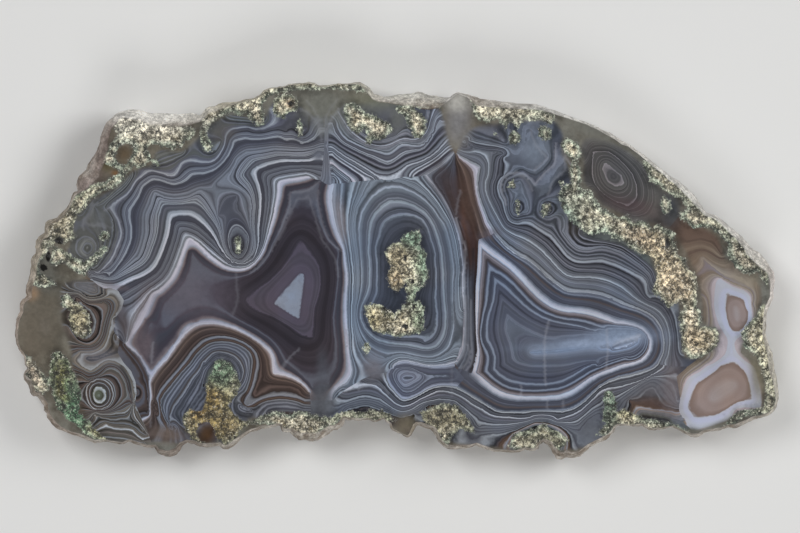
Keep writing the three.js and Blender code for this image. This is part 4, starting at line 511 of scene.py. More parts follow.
# The order of the bands in each part of the stone, inwards along "t".
BANDS = {
    0: "-10:tan1 0:tan1 30:tan1",
    1: "-95:sage -93.6:sage -93:grey3 -92.4:sage -90.6:sage -90:grey3 -89.4:sage -86.6:sage -86:grey4 -85.4:sage -84:sage -83.4:grey2 -82.8:sage -80:sage -79:grey2 -78:sage -76.6:sage -76:grey3 -75.4:sage -73:grey1 -71.4:sage -70:grey1 -69:slate2 -68:pale2 -67:slate1 -65:grey1 -63.4:slate1 -62:grey3 -60.5:grey1 -59.5:slate2 -58.3:grey2 -57:pale2 -56:slate2 -54:slate1 -51:slate2 -48:grey1 -46:grey1 -44.5:grey3 -43.5:grey1 -42:grey4 -41:grey2 -40:grey4 -38.6:slate2 -37.4:grey4 -36.2:grey1 -35:grey3 -34:grey1 -32:pale1 -31.3:grey1 -30.3:pale1 -28.8:slate2 -26:grey1 -23.5:grey2 -21:pale1 -19.5:pale2 -17.8:slate2 -15:slate1 -13:grey2 -11:slate2 -9:grey2 -7:grey1 -5.2:grey3 -3.4:pale1 -2.6:pale1 -1.6:pale3 -0.8:white 0:white",
    2: "-1:white 0.3:white 1.3:pale1 2.6:pink1 4.2:plum2 6.6:slate0 8:plum2 9.5:grey1 10.6:plum2 12:plum1 16:plum1 20:plum0 24:plum1 28:plum1 29.6:plum2 30.1:mauve2 31:mauve1 36:mauve2 41.2:mauve2 42:pale1 43:blue1 48:blue1",
    3: "-15:grey2 -14:slate2 -13:brown1 -12.2:grey2 -11.4:brown1 -10:brown2 -9.2:grey1 -8.4:brown1 -7:brown2 -6.2:grey1 -5.4:brown1 -4:brown2 -3.4:grey1 -2.6:brown1 -1.6:brown2 -0.6:grey2 0:white 0.6:white 1.8:pink2 4:brown3 7:brown2 9:brown1 11:brown2 12.4:brown1 13.3:pale2 14.6:grey2 15.8:brown1 17:brown3 18.4:brown1 19.6:pale1 20.8:grey1 21.8:grey3 22.8:slate2 24:grey3 25.4:slate1 26.6:grey2 28:brown1 29.4:pale1 30.2:slate1 31:grey2 31.8:slate1 32.6:grey3 33.3:slate1 34:grey2 34.8:slate1 35.4:grey3 36:slate1 38:green1",
    4: "0:white 1.6:white 3:pink2 6:brown3 9:brown2 11:brown0 12.2:brown1 13.3:pale1 15:grey1 17:grey2 19:slate2 20.6:grey2 22:slate2 25:green1 28:green1",
    5: "0:slate0 2:slate2 3.5:slate1 5:slate2 7:slate1 8.5:slate2 10:slate1 12:slate2 14:slate1 16:slate2 17.5:slate1 19:slate2 20.5:slate1 22:slate1",
    6: "-14:grey1 -12.4:grey1 -12:grey3 -11.4:grey1 -9.6:grey1 -9:grey4 -8.4:grey1 -6.6:grey1 -6:grey4 -5.4:grey1 -4:grey1 -2:grey2 0:grey3 1.5:slate2 3.5:grey1 5:slate2 6.5:pale1 8:slate2 10:slate1 12:grey1 13.5:slate2 15:grey2 16.5:slate1 17.6:pale1 18.8:slate1 20:grey3 21.3:slate1 22.6:grey4 23.8:slate1 25.2:pale1 26.8:slate1 29:slate1 30.6:grey1 32:pale1 33.6:pale2 34.8:slate0 36.2:grey3 37:slate0 38.4:pale1 39.2:slate1 40.2:grey3 41:slate1 42:grey3 43:slate0 44:pale1 45:slate1 46:grey2 47:slate1",
    7: "-1:pale3 1.4:pale3 2.6:grey2 4:grey1 5.4:grey3 6.4:slate2 7.6:grey2 9.2:pale1 10.4:grey1 11.6:grey3 13:grey2 14:grey4 15.2:grey2 16.2:grey3 17.6:grey1 19:grey3 20.6:slate2 23.4:grey1 24.4:pale1 25.3:grey1 27:slate2 28:slate2 30.6:slate2 31.4:grey2 32.2:slate2 35:slate1 38:slate0 42:slate0",
    8: "-1:pale2 1:pale2 2.4:grey1 3.4:slate2 4.4:grey2 5.4:slate1 6.6:slate1 8:pale1 9.2:grey1 10.4:grey3 11.4:slate2 12.8:pale1 14:grey1 15.4:grey3 17:grey3",
    9: "-0.5:pale1 1:grey3 2.4:slate1 3.6:grey2 5:slate0 6.2:grey1 7.4:slate1 8.6:slate0 9.8:plum1 11:brown1 12:brown1 14:brown2 16:brown3 18:brown2 20:pink1 21.4:pale3 23:pale3",
    10: "-14.5:pale2 -13.4:pale1 -12:grey1 -11:grey3 -9.6:slate1 -8:brown2 -7:grey1 -5.6:slate1 -4.4:slate2 -3:slate0 -1.9:grey2 -0.9:pale2 0:white 1:white",
    11: "-1:pale3 0.8:pale2 2.2:grey1 3.6:grey3 5:slate2 6.4:grey3 8:grey1 9.6:grey2 11:pale1 12.4:grey1 14:grey2 15.6:slate2 17.2:grey1 18.6:slate1 20:grey1 21.6:slate2 23.4:grey1 24.8:pale1 26:grey1 28:grey2 29.8:slate2 31:grey2 32.4:slate2 34:grey1 36:grey2 37.6:slate2 40:grey1 44:grey1 47:green1",
    12: "-33:taupe2 -30.3:taupe2 -30:pink1 -29.7:taupe2 -26.3:taupe2 -26:taupe3 -25.7:taupe1 -22.3:taupe2 -22:pink1 -21.6:taupe2 -19.3:taupe1 -19:taupe3 -18.7:taupe1 -14.5:taupe1 -14:pink2 -13.5:taupe1 -11.3:taupe2 -11:pink1 -10.7:taupe1 -8.2:taupe2 -7.9:pink1 -7.6:taupe2 -5.4:taupe1 -5:pink1 -4.6:taupe2 -0.8:taupe2 -0.2:pink2 0.25:pink2 0.8:taupe2 3:taupe1 6:taupe1",
    13: "-22:tan1 -19:tan1 -14:tan2 -11:tan1 -8:tan2 -4:tan2 -2:tan3 -0.8:tan3 0:pink2 1.2:tan2 3:tan3 6:flesh3 8:flesh3",
    14: "-1:lilac 2:lilac 5:lilac2 8:lilac2 9:lilac 9.8:flesh1 12:flesh2 16:flesh2 22:flesh3 28:flesh3",
    15: "-8:slate2 -6:grey2 -5:slate2 -4:grey3 -3:slate2 -2:grey1 -1.4:slate2 -0.6:pale1 0.8:pale1 2.2:slate1 3.6:grey3 5:slate2 6.2:grey2 7.2:slate2 8:pale1 8.9:grey1 11:slate2 12.6:grey2 13.8:slate1 15:pale1 15.8:slate2 16.8:grey3 17.6:slate2 18.6:grey3 19.4:slate2 20.4:grey3 21.2:slate2 22:pale1 22.7:slate2 23.3:brown2 24:brown3 24.6:grey3 25.2:brown3 26:grey3 26.6:grey1 27.4:grey3 28.4:green1 29.4:grey2 31:green2",
    16: "-22:taupe3 -20.9:taupe2 -20.2:pale2 -19.4:taupe2 -17:taupe3 -16.4:pink2 -15.8:taupe2 -13.8:taupe2 -13:pale2 -12.2:taupe2 -10:taupe2 -9.4:grey3 -8.8:taupe2 -7.7:taupe2 -7:pale2 -6.2:taupe2 -4:taupe1 -3.4:grey2 -2.8:taupe1 -0.9:taupe2 0:pale2 0.9:taupe3 2.6:taupe2 3.2:grey3 3.8:taupe1 5.6:brown2 6.2:grey3 6.8:brown1 8.2:brown2 9:pale2 9.8:taupe2 12:brown2 12.6:grey3 13.2:brown1 15.5:brown1 17.2:brown2 18:pale1 18.8:brown2 19.3:taupe1 20:pale2 20.8:brown2 22.6:taupe1 23.2:grey3 23.8:brown1 25.4:taupe1 26:grey3 26.6:taupe1 27.4:olive 28:pale1 28.8:olive 30.5:green1 31:grey3 31.6:green1 33:green2",
    17: "0:grey3 2:grey2 3.5:grey3 5:grey2 6.5:grey3 8:grey2 9.5:grey3 11.5:grey2",
    18: "-1:white 0.9:white 2:pale2 3.2:pink2 4.6:pink1 6:brown2 7.4:slate1 9:pale1 10.2:slate1 11.8:slate0 13.4:slate2 15:pale1 16.2:slate2 18:slate1 22:slate1 25:grey1 28:slate2 30:grey1 32:grey3 33.4:slate2 36:grey1 39:grey2 42:grey4 45:blue1 47:blue2 49:grey3 51:grey1 52:blue1 53.2:slate1 55:blue2 56:blue3 58:blue3",
}

# Soft colour patches: x, y, radius along, radius across, turn, strength, tone. Most are the stone's own tones; the dark
# ones next to the mossy growths are painted shade.
PATCHES = [
    (650, 393, 10, 5, 0, 0.7, (98, 95, 100)), (637, 399, 10, 4, 8, 0.5, (98, 92, 94)), (655, 413, 28, 4, 5, 0.6, (106, 99, 92)),
    (404, 424, 12, 10, 0, 0.8, (118, 110, 94)), (612, 174, 8, 10, -35, 0.5, (86, 86, 92)),
    (98, 218, 20, 22, 15, 0.6, (82, 82, 82)), (467, 335, 7, 36, 0, 0.55, (98, 102, 112)), (372, 371, 13, 9, 0, 0.75, (103, 101, 110)),
    (652, 388, 14, 8, 0, 0.6, (100, 98, 104)), (86, 287, 14, 6, 10, 0.65, (108, 112, 122)),
    (100, 218, 6, 12, 20, 0.55, (102, 105, 108)),
    # painted shade: the dark patches at 588,229, 588,150, 602,197, 655,178 and 662,222 here, and at 672,205 and 573,228
    # below
    (588, 229, 26, 9, 25, 0.45, (72, 75, 80)), (560, 208, 6, 16, 0, 0.4, (72, 78, 80)), (484, 122, 16, 6, 0, 0.5, (108, 102, 92)), (519, 147, 16, 12, 0, 0.4, (118, 126, 142)),
    (588, 150, 8, 14, 0, 0.4, (78, 74, 74)), (602, 197, 16, 7, 25, 0.55, (66, 59, 59)), (655, 178, 9, 14, -40, 0.5, (74, 73, 72)), (662, 222, 16, 7, 20, 0.6, (56, 50, 52)),
    (735, 268, 9, 7, 0, 0.6, (128, 115, 105)), (655, 404, 22, 4.5, 8, 0.75, (82, 65, 60)), (676, 246, 7, 16, 20, 0.5, (70, 60, 54)),
    (487, 234, 13, 5, -15, 0.6, (92, 84, 92)), (470, 376, 10, 6, 30, 0.6, (84, 86, 98)), (378, 372, 12, 5, 0, 0.5, (100, 103, 112)),
    (372, 105, 26, 9, 0, 0.5, (114, 117, 106)), (398, 118, 9, 14, 20, 0.5, (112, 115, 106)), (343, 120, 8, 16, -30, 0.4, (120, 127, 128)),
    (318, 155, 6, 5, 0, 1.0, (100, 104, 116)), (441, 188, 8, 20, -35, 0.7, (60, 51, 55)), (453, 206, 6, 24, -15, 0.7, (64, 49, 46)),
    (464, 232, 4, 24, -4, 0.7, (96, 62, 48)), (112, 286, 16, 3.5, 8, 0.6, (110, 99, 103)), (57, 345, 5, 28, 0, 0.6, (72, 68, 60)),
    (605, 340, 60, 8, -4, 0.45, (142, 156, 182)), (626, 339, 15, 3.4, -12, 0.9, (188, 196, 214)), (590, 343, 26, 4, -2, 0.7, (158, 172, 198)), (97, 394, 4.5, 4.5, 0, 0.7, (106, 114, 98)), (30, 330, 10, 34, 0, 0.5, (124, 112, 98)), (50, 305, 10, 22, 10, 0.5, (86, 80, 70)), (618, 334, 30, 12, -5, 0.35, (132, 148, 176)),
    (124, 322, 7, 20, -15, 0.7, (76, 66, 66)), (446, 176, 8, 22, -32, 0.6, (68, 58, 60)), (44, 326, 5, 8, 0, 0.5, (168, 160, 158)), (42, 300, 16, 12, 0, 0.5, (92, 84, 70)),
    (322, 402, 13, 22, 0, 0.9, (84, 86, 92)), (322, 370, 6, 20, 0, 0.5, (86, 90, 100)), (328, 404, 5, 8, 0, 0.5, (104, 108, 116)), (206, 432, 10, 14, 0, 0.95, (76, 54, 34)),
    (672, 388, 11, 28, 0, 0.6, (120, 110, 112)), (757, 376, 8, 26, 0, 0.8, (122, 116, 98)), (120, 300, 10, 12, 0, 0.0, (90, 80, 70)),
    (380, 98, 40, 8, 0, 0.6, (120, 122, 106)), (590, 128, 24, 10, 25, 0.8, (112, 112, 106)),
    (195, 296, 48, 26, 0, 0.45, (100, 92, 104)), (145, 345, 10, 22, 0, 0.4, (108, 98, 104)),
    (40, 325, 24, 30, 0, 0.9, (104, 97, 86)), (70, 410, 20, 10, 35, 0.7, (104, 92, 78)),
    # painted highlight: the whitish-pink patch at 86,182
    (95, 165, 16, 26, 25, 0.9, (104, 92, 86)), (86, 182, 6, 6, 0, 0.8, (158, 146, 146)),
    (107, 163, 8, 9, 0, 0.7, (92, 84, 50)), (115, 173, 4, 3, 0, 0.8, (150, 110, 70)),
    (124, 153, 8, 9, 0, 0.85, (92, 76, 56)), (214, 107, 12, 6, -12, 0.7, (158, 140, 104)),
    (222, 132, 14, 12, 0, 0.5, (94, 88, 82)), (458, 120, 13, 26, 5, 1.0, (126, 125, 126)), (457, 102, 12, 10, 0, 0.9, (182, 180, 174)), (464, 132, 5, 14, 0, 0.4, (112, 110, 108)), (468, 250, 7, 24, 0, 0.75, (52, 34, 27)), (464, 200, 11, 34, -8, 0.5, (84, 62, 52)),
    (30, 292, 8, 8, 0, 0.6, (170, 136, 104)), (140, 312, 8, 26, 20, 0.35, (140, 122, 122)),
    (145, 345, 8, 14, -15, 0.35, (112, 98, 104)), (470, 215, 8, 40, -5, 0.45, (80, 62, 56)),
    (472, 250, 5, 22, 0, 0.6, (58, 32, 24)), (340, 220, 6, 24, -8, 0.5, (150, 142, 146)),
    (372, 360, 12, 12, 0, 0.4, (118, 112, 118)), (632, 206, 26, 9, 12, 0.5, (86, 66, 70)),
    (672, 205, 10, 20, 0, 0.7, (60, 66, 74)), (700, 270, 16, 50, -10, 0.35, (112, 94, 84)),
    (618, 334, 26, 9, -5, 0.6, (134, 150, 174)), (570, 345, 50, 5, -3, 0.4, (128, 144, 168)),
    (655, 400, 14, 4, 8, 0.6, (92, 78, 74)), (167, 434, 19, 9, 5, 0.92, (106, 94, 88)),
    (573, 228, 8, 9, 0, 0.5, (66, 58, 50)), (535, 150, 14, 16, 0, 0.5, (132, 144, 160)),
    (630, 235, 20, 8, 25, 0.4, (88, 84, 76)), (745, 278, 14, 12, 0, 0.5, (150, 142, 126)),
    (322, 104, 26, 20, 0, 0.95, (114, 115, 108)), (322, 126, 9, 12, 0, 0.6, (108, 112, 112)), (98, 356, 20, 8, 0, 0.5, (124, 124, 134)),
]
# The same inside the mossy growths.
MOSS_PATCHES = [
    (216, 400, 34, 48, 0, 0.75, (104, 98, 66)), (400, 418, 90, 14, 0, 0.5, (112, 110, 92)), (545, 438, 30, 12, 0, 0.6, (108, 110, 90)),
    (70, 392, 20, 48, -20, 0.5, (100, 104, 78)), (620, 420, 40, 14, 0, 0.5, (120, 118, 100)), (120, 128, 30, 12, -10, 0.6, (206, 204, 186)),
    (185, 118, 30, 8, 5, 0.6, (210, 206, 184)), (76, 208, 10, 40, 35, 0.4, (176, 172, 144)), (430, 97, 50, 6, 3, 0.5, (196, 196, 180)),
    (510, 112, 44, 10, 8, 0.5, (196, 192, 172)), (700, 205, 60, 10, 40, 0.45, (196, 196, 172)), (770, 340, 8, 60, 0, 0.5, (206, 200, 176)),
    (402, 248, 8, 18, 20, 0.6, (186, 168, 130)), (660, 262, 16, 24, -20, 0.5, (206, 180, 140)), (590, 200, 22, 12, 25, 0.5, (176, 184, 166)),
    (412, 240, 14, 10, 0, 0.9, (112, 142, 120)), (421, 264, 6, 20, 0, 0.85, (120, 146, 124)), (414, 290, 8, 10, 0, 0.7, (118, 142, 118)), (394, 278, 8, 10, 0, 0.7, (188, 158, 120)),
    (392, 262, 6, 10, 0, 0.5, (176, 154, 116)), (374, 318, 9, 12, 0, 0.6, (176, 160, 112)), (418, 322, 7, 12, 0, 0.7, (120, 142, 116)), (570, 220, 10, 14, 0, 0.7, (132, 154, 140)),
    (600, 226, 20, 8, 15, 0.5, (132, 152, 136)), (640, 236, 16, 8, 25, 0.7, (190, 168, 138)), (692, 335, 8, 14, 0, 0.6, (196, 172, 140)), (150, 115, 44, 7, 0, 0.8, (220, 214, 204)),
    (232, 100, 30, 7, -15, 0.6, (176, 180, 160)), (300, 90, 34, 6, 0, 0.5, (184, 188, 168)),
    (220, 372, 14, 16, 0, 0.9, (104, 130, 108)), (212, 398, 10, 12, 0, 0.9, (150, 122, 66)),
    (212, 425, 30, 16, 0, 0.7, (136, 114, 66)), (198, 412, 8, 6, 0, 0.9, (176, 132, 48)),
    (206, 432, 9, 13, 0, 0.95, (70, 48, 30)), (60, 372, 10, 16, 0, 0.8, (116, 120, 72)),
    (72, 408, 14, 24, -25, 1.0, (88, 128, 100)), (60, 384, 4, 6, 0, 0.9, (176, 150, 44)), (66, 398, 5, 4, 0, 0.8, (160, 130, 40)), (62, 392, 6, 8, 0, 0.7, (146, 130, 60)),
    (98, 432, 12, 5, 30, 0.8, (136, 128, 84)), (78, 320, 12, 16, 0, 0.7, (168, 148, 112)),
    (410, 238, 12, 10, 0, 0.7, (116, 142, 124)), (398, 262, 12, 18, 0, 0.5, (170, 160, 128)),
    (398, 285, 8, 8, 0, 0.6, (176, 158, 124)), (385, 318, 20, 12, 0, 0.5, (166, 156, 122)),
    (415, 312, 8, 18, 0, 0.6, (128, 146, 122)), (416, 260, 8, 14, 0, 0.5, (130, 148, 124)),
    (570, 205, 12, 18, 0, 0.5, (140, 158, 144)), (680, 285, 18, 22, 0, 0.6, (188, 166, 136)),
    (700, 340, 16, 12, 0, 0.6, (180, 162, 130)), (610, 405, 9, 20, 0, 0.9, (98, 118, 104)),
    (285, 103, 12, 8, 0, 0.5, (176, 166, 136)), (290, 103, 5, 5, 0, 0.9, (96, 64, 40)),
    (150, 122, 50, 12, 0, 0.6, (186, 176, 166)), (60, 230, 22, 30, 0, 0.5, (116, 106, 84)),
    (190, 135, 10, 10, 0, 0.4, (110, 120, 96)), (650, 240, 12, 14, 0, 0.5, (180, 162, 134)),
    (440, 418, 24, 10, 0, 0.5, (140, 122, 98)), (760, 330, 10, 30, 0, 0.4, (150, 148, 116)),
    (34, 374, 8, 16, 0, 0.7, (150, 132, 116)), (625, 414, 12, 6, 0, 0.6, (170, 158, 120)),
    (214, 414, 30, 30, 0, 0.6, (110, 94, 48)), (222, 371, 14, 16, 0, 0.65, (88, 114, 90)), (400, 418, 90, 12, 0, 0.55, (92, 92, 72)), (455, 418, 26, 18, 0, 0.5, (112, 108, 84)), (77, 318, 12, 24, 0, 0.6, (118, 116, 90)), (766, 380, 14, 60, 0, 0.45, (176, 172, 146)),
    (545, 438, 30, 12, 0, 0.5, (90, 92, 74)), (150, 122, 44, 14, 0, 0.5, (236, 232, 214)), (610, 412, 10, 20, 0, 0.5, (88, 106, 90)), (68, 392, 16, 46, -20, 0.55, (72, 94, 66)), (72, 400, 9, 26, -25, 0.5, (64, 112, 82)), (60, 372, 6, 9, 0, 0.5, (128, 116, 52)), (60, 392, 5, 5, 0, 0.5, (132, 116, 48)),
]
# The same on the rough rim.
RIM_PATCHES = [
    (155, 112, 50, 10, 0, 0.9, (250, 248, 238)), (340, 88, 60, 8, 0, 0.6, (222, 220, 204)), (40, 240, 26, 50, 30, 0.5, (150, 136, 112)),
    (410, 92, 44, 10, 0, 0.85, (236, 234, 226)), (455, 98, 14, 8, 0, 0.8, (222, 220, 216)), (232, 100, 40, 10, -15, 0.7, (206, 198, 176)),
    (700, 200, 110, 40, 40, 0.7, (244, 242, 236)), (776, 330, 14, 90, 0, 0.6, (232, 228, 216)),
    # painted highlight: the whitish-pink rim patch at 84,186
    (150, 114, 52, 10, 0, 0.8, (232, 226, 218)), (106, 150, 14, 36, 20, 0.75, (146, 128, 122)), (84, 186, 10, 10, 0, 0.8, (176, 158, 152)),
    (640, 150, 130, 60, 35, 0.6, (236, 233, 226)), (778, 290, 12, 40, 0, 0.7, (236, 226, 222)), (770, 390, 16, 40, 0, 0.6, (192, 186, 170)),
    (24, 320, 14, 50, 0, 0.5, (176, 150, 130)), (60, 420, 30, 20, 40, 0.5, (140, 118, 100)), (560, 112, 60, 14, 12, 0.6, (230, 230, 226)),
    (300, 90, 80, 10, 0, 0.5, (186, 182, 164)), (170, 448, 40, 10, 0, 0.7, (120, 104, 92)),
    (150, 112, 56, 9, 0, 0.95, (252, 249, 242)), (404, 427, 12, 9, 0, 0.8, (160, 150, 128)),
]
CONTRAST = {1: 1.35, 2: 1.12, 3: 1.3, 6: 1.75, 7: 1.12, 9: 1.35, 10: 1.1, 11: 1.3, 12: 1.2, 13: 1.25, 14: 1.2, 15: 1.5, 16: 1.15, 17: 1.5}
# The cast of each part: how far its tones lean from the named ones.
CAST = {
    1: (1.0, 1.0, 0.98), 2: (0.99, 0.99, 1.0), 3: (0.92, 0.90, 0.88), 6: (1.06, 1.085, 1.085), 7: (1.02, 1.07, 1.08),
    8: (0.92, 0.95, 1.0), 9: (0.96, 0.97, 0.98), 10: (0.98, 1.01, 1.04), 11: (0.945, 0.965, 0.965), 12: (0.97, 1.0, 1.0),
    14: (1.04, 1.04, 1.02), 15: (0.97, 0.97, 0.95), 16: (1.01, 0.99, 0.93), 18: (0.965, 1.01, 1.06),
}
LINE_GAIN = {1: 2.1, 2: 0.4, 3: 2.0, 6: 2.6, 7: 1.8, 8: 1.6, 9: 2.6, 10: 1.4, 11: 2.3, 12: 0.9, 14: 0.05, 15: 3.2, 16: 2.6, 17: 0.8, 13: 0.8, 18: 1.1}
# Fine healed cracks: light ones and dark ones, with their half widths. The first three dark lines, beside the white
# star curve, are painted shadow.
LIGHT_LINES = [
    (pairs("530.5,130 532,137 535,144 539,149.5 544,154.5 547.5,158.5 541,163.5 534,169.5"), 0.5, 0.22),
    (pairs("500,189 500.5,182 503,177 508,173.5 513,172.3 519,172.3 524,173.8 528,177 531.5,181 534,184 538,179.5 543,173.5 549,168 554,164 555,158 555,150 555.5,143"), 0.6, 0.42),
    (pairs("503,190 503.5,184 506,179.5 510,176.5 516,175.3 521,176 526,179.5 529.5,184 532,190"), 0.5, 0.25), (pairs("500,189 502,194 504.5,199 505.5,204"), 0.6, 0.35),
    (pairs("561,146 563,155 564.5,165 564.5,170 560,173.5 555,178 551,183 550,188 548,193"), 0.5, 0.25),
    (pairs("251,271.5 258,266.5 265,257.5 271.5,248.5 277,237.5 281.5,225 286,214 289.5,205 289.5,192 296,191.5 303,191 309,189 314,185 319,181"), 0.5, 0.22),
    (pairs("278.5,239 283,229.5 287,219.5 291.5,210 296.5,198.6 303,198.3 308.5,196.5 311,206 314.5,216 318,228 322,240 328,247.5 333,254.5 336.5,264 337.8,276"), 0.5, 0.16),
    (pairs("318,190 317,200 319,210 321.5,221 325,232 329,240 335,246 340,250"), 0.5, 0.18),
    (pairs("104,210 110,206.5 117,202 124,196.5"), 0.5, 0.2), (pairs("111,209.5 114,214 117.5,219 120,225 121.7,231 121,238 119,243 117,249 115,254 112,259 109.5,264 104,268"), 0.5, 0.25),
    (pairs("83,229 82.3,224 83,219.5 87,215.5 89.5,211 90,205 92,201 96,198"), 0.5, 0.2), (pairs("85,222 86,218.5 89.5,214.5 91.5,209 93.5,205 97,202"), 0.4, 0.18),
    (pairs("86,222 89,224.5 93,225.3 97,224.2 100,225.5 104,227"), 0.5, 0.2), (pairs("97,222 102,223.5 107,226 111,227"), 0.5, 0.12),
    (pairs("117.5,232 116.5,240 113,247 110,255 106,262"), 0.5, 0.14), (pairs("79.5,248 82,243.5 84,240 87,238.5 91,239.5 94.5,243 95,248 93,251.5 89.5,255 86.5,256.5 82.5,253.5 79.5,250 79.5,248"), 0.45, 0.2),
    (pairs("465,296 465,312 465,330 464.6,344 462.5,354 457,361.5"), 1.3, 0.3), (pairs("470.3,300 470.3,320 470.6,338 471.6,350 472.3,357 470.5,364 466,369.5"), 0.7, 0.3),
    (pairs("467.7,345 469,354 467,362 461,368"), 0.5, 0.25), (pairs("352.3,340 352.5,350 355.5,358.5 360,366.5 361.8,374 359.5,381 354,386 347,389.5 340,392"), 0.6, 0.3),
    (pairs("358,389 362,385.5 366,383.5 372,383 379,384 384,388 388,393"), 0.5, 0.22),
    (pairs("338,108 340,116 345,124 352,132 360,139 368,145 376,148 384,147 392,143 397,139"), 0.7, 0.26),
    (pairs("397,140 402,144 410,147 418,145 426,139 432,129 436,116"), 0.7, 0.26), (pairs("428,112 424,124 418,136 411,141 404,138"), 0.6, 0.2),
    (pairs("455.6,218 459,228 462,238 465.5,249 464.5,262 462.5,276 462.5,292"), 0.45, 0.5),
    (pairs("613,345 620,341 630,338 640,334 634,341 624,346 615,347"), 0.6, 0.3),
    (pairs("326,140 327,128 331,118 338,110 345,104"), 0.7, 0.2), (pairs("321,140 319,128 314,119 307,112 300,108"), 0.7, 0.2),
    (pairs("324,132 325,118 330,108 336,100"), 0.6, 0.14), (pairs("322,132 319,120 313,108 306,100"), 0.6, 0.14),
    (pairs("548.3,320 546.5,327.4 544.7,336.3 543.8,346 544,358 545,384"), 0.6, 0.28),
    (pairs("606.3,330 606.8,340.8 607.2,350.6 605.9,368"), 0.7, 0.28),
    (pairs("520.7,386 520.7,397"), 0.6, 0.28), (pairs("546.9,400.4 546.9,407.5"), 0.5, 0.22),
    (pairs("562.6,400.4 562.6,406.6"), 0.5, 0.22), (pairs("235.7,272.9 236.2,287.2 237.5,296.1 235.3,306.9 232.1,314"), 1.0, 0.14),
    (pairs("112.2,320.2 115.8,328.3 117.5,335.4 116.6,340.8"), 0.6, 0.39),
    (pairs("460,190 457,203 455.5,214"), 0.4, 0.2), (pairs("461,272 465,282 462,295"), 0.6, 0.33),
    (pairs("150,374 149,390 149.5,405 150,425"), 0.6, 0.17), (pairs("562,148 566,158 570,164"), 0.6, 0.39),
    (pairs("451.5,366 451.5,396"), 0.5, 0.11), (pairs("152.5,342 151.5,352 151,362"), 1.0, 0.28),
    (pairs("281.5,368 285,362 292,354 298,349"), 0.6, 0.22),
]
DARK_LINES = [
    # painted shadow: the first three lines here, beside the white star curve
    (pairs("498,172.5 505,168.8 513,167 520,167.3 528,169.5 534,173 538,170.5 545,163.5 550,158"), 1.4, 0.3), (pairs("527,177 531,182.5 534,187.5"), 0.9, 0.3),
    (pairs("541,177 546,171.5 552,166.5"), 0.8, 0.35), (pairs("462.4,298 462.6,320 462.2,338 460.5,350 456,358"), 0.9, 0.5),
    (pairs("468.7,300 468.5,318 468.5,334 469,348 469.5,356 467,364"), 0.7, 0.4), (pairs("472.2,300 472,316 472.3,330 474,345 475.2,354 474,362 469.5,371"), 1.0, 0.6),
    (pairs("457.5,219 460.5,229 463.6,239"), 0.8, 0.85), (pairs("466,240 468,256 469,276"), 1.0, 0.6), (pairs("612,347 620,343.5 632,341 641,336"), 0.6, 0.4),
    (pairs("120.7,366 124.7,372 128.5,380 130,390"), 1.4, 0.95), (pairs("461.5,232 462.5,240 463,247"), 1.1, 0.9),
    (pairs("465,250 465.5,262"), 0.9, 0.9), (pairs("460,259 460.5,272 459.5,285"), 0.7, 0.7),
    (pairs("472.8,248 472.5,262 472,280 471.8,300"), 1.1, 0.8), (pairs("453,302 453,322"), 0.7, 0.6),
    (pairs("245,393 243,399 241.5,405"), 1.2, 0.8), (pairs("246,411.5 252,409.5 258,405.5"), 1.1, 0.8),
    (pairs("270,315.8 279.8,321.1 287.8,327.4 295,333.7 301.2,336.3 310.1,338.6"), 0.8, 0.5),
    (pairs("100,318 98,328"), 0.7, 0.5), (pairs("540,270 552,284"), 1.0, 0.5), (pairs("528,256 540,268"), 0.9, 0.5),
    (pairs("340,250 343,270 343,290"), 1.2, 0.45), (pairs("346,330 348,345"), 0.8, 0.4),
]
# Deep holes in the mossy growths, dented into the shape and filled with painted shade.
HOLES = [
    (59, 240, 5, 4), (48, 256, 3, 6), (43, 267, 4, 4), (405, 326, 3.2, 3.2), (413, 307, 1.6, 3), (405, 258, 1.6, 3.5),
    (667, 243, 2.4, 7), (203, 384, 1.2, 4), (290, 103, 3, 3), (412, 281, 2, 3), (384, 308, 2, 2),
]

LIGHT = 5.6

# ---------------------------------------------------------------- band field
GX0, GY0, GH = 4.0, 72.0, 0.5
GNX, GNY = 1584, 768


def near(points, at):
    return min(range(len(points)), key=lambda i: math.dist(points[i], at))


def part_of(name, a, b):
    line = LINES[name]
    i, j = near(line, a), near(line, b)
    return line[i:j + 1] if i <= j else line[j:i + 1][::-1]


def outline_of(spec):
    out = []
    for item in spec:
        if isinstance(item, str):
            out += LINES[item]
        elif isinstance(item[0], str):
            out += part_of(*item)
        else:
            out.append(item)
    return np.array(out, float)


def grid_inside(poly):
    """Which cells of the grid lie inside a closed outline."""
    out = np.zeros((GNY, GNX), bool)
    i0 = max(0, int((poly[:, 1].min() - GY0) / GH) - 1)
    i1 = min(GNY, int((poly[:, 1].max() - GY0) / GH) + 2)
    nxt = np.roll(poly, -1, 0)
    for i in range(i0, i1):
        y = GY0 + i * GH
        hit = (poly[:, 1] <= y) != (nxt[:, 1] <= y)
        a, b = poly[hit], nxt[hit]
        xs = np.sort(a[:, 0] + (y - a[:, 1]) * (b[:, 0] - a[:, 0]) / (b[:, 1] - a[:, 1]))
        for lo, hi in zip(xs[::2], xs[1::2]):
            ja, jb = max(0, math.ceil((lo - GX0) / GH)), min(GNX - 1, math.floor((hi - GX0) / GH))
            if jb >= ja:
                out[i, ja:jb + 1] = True
    return out


def inside(poly, x, y):
    out = np.zeros(x.shape, bool)
    nxt = np.roll(poly, -1, 0)
    for (x1, y1), (x2, y2) in zip(poly, nxt):
        if y1 == y2:
            continue
        lo, hi = min(y1, y2), max(y1, y2)
        m = np.nonzero((y >= lo) & (y < hi))[0]
        if len(m):
            c = x[m] < x1 + (y[m] - y1) * (x2 - x1) / (y2 - y1)
            out[m[c]] ^= True
    return out


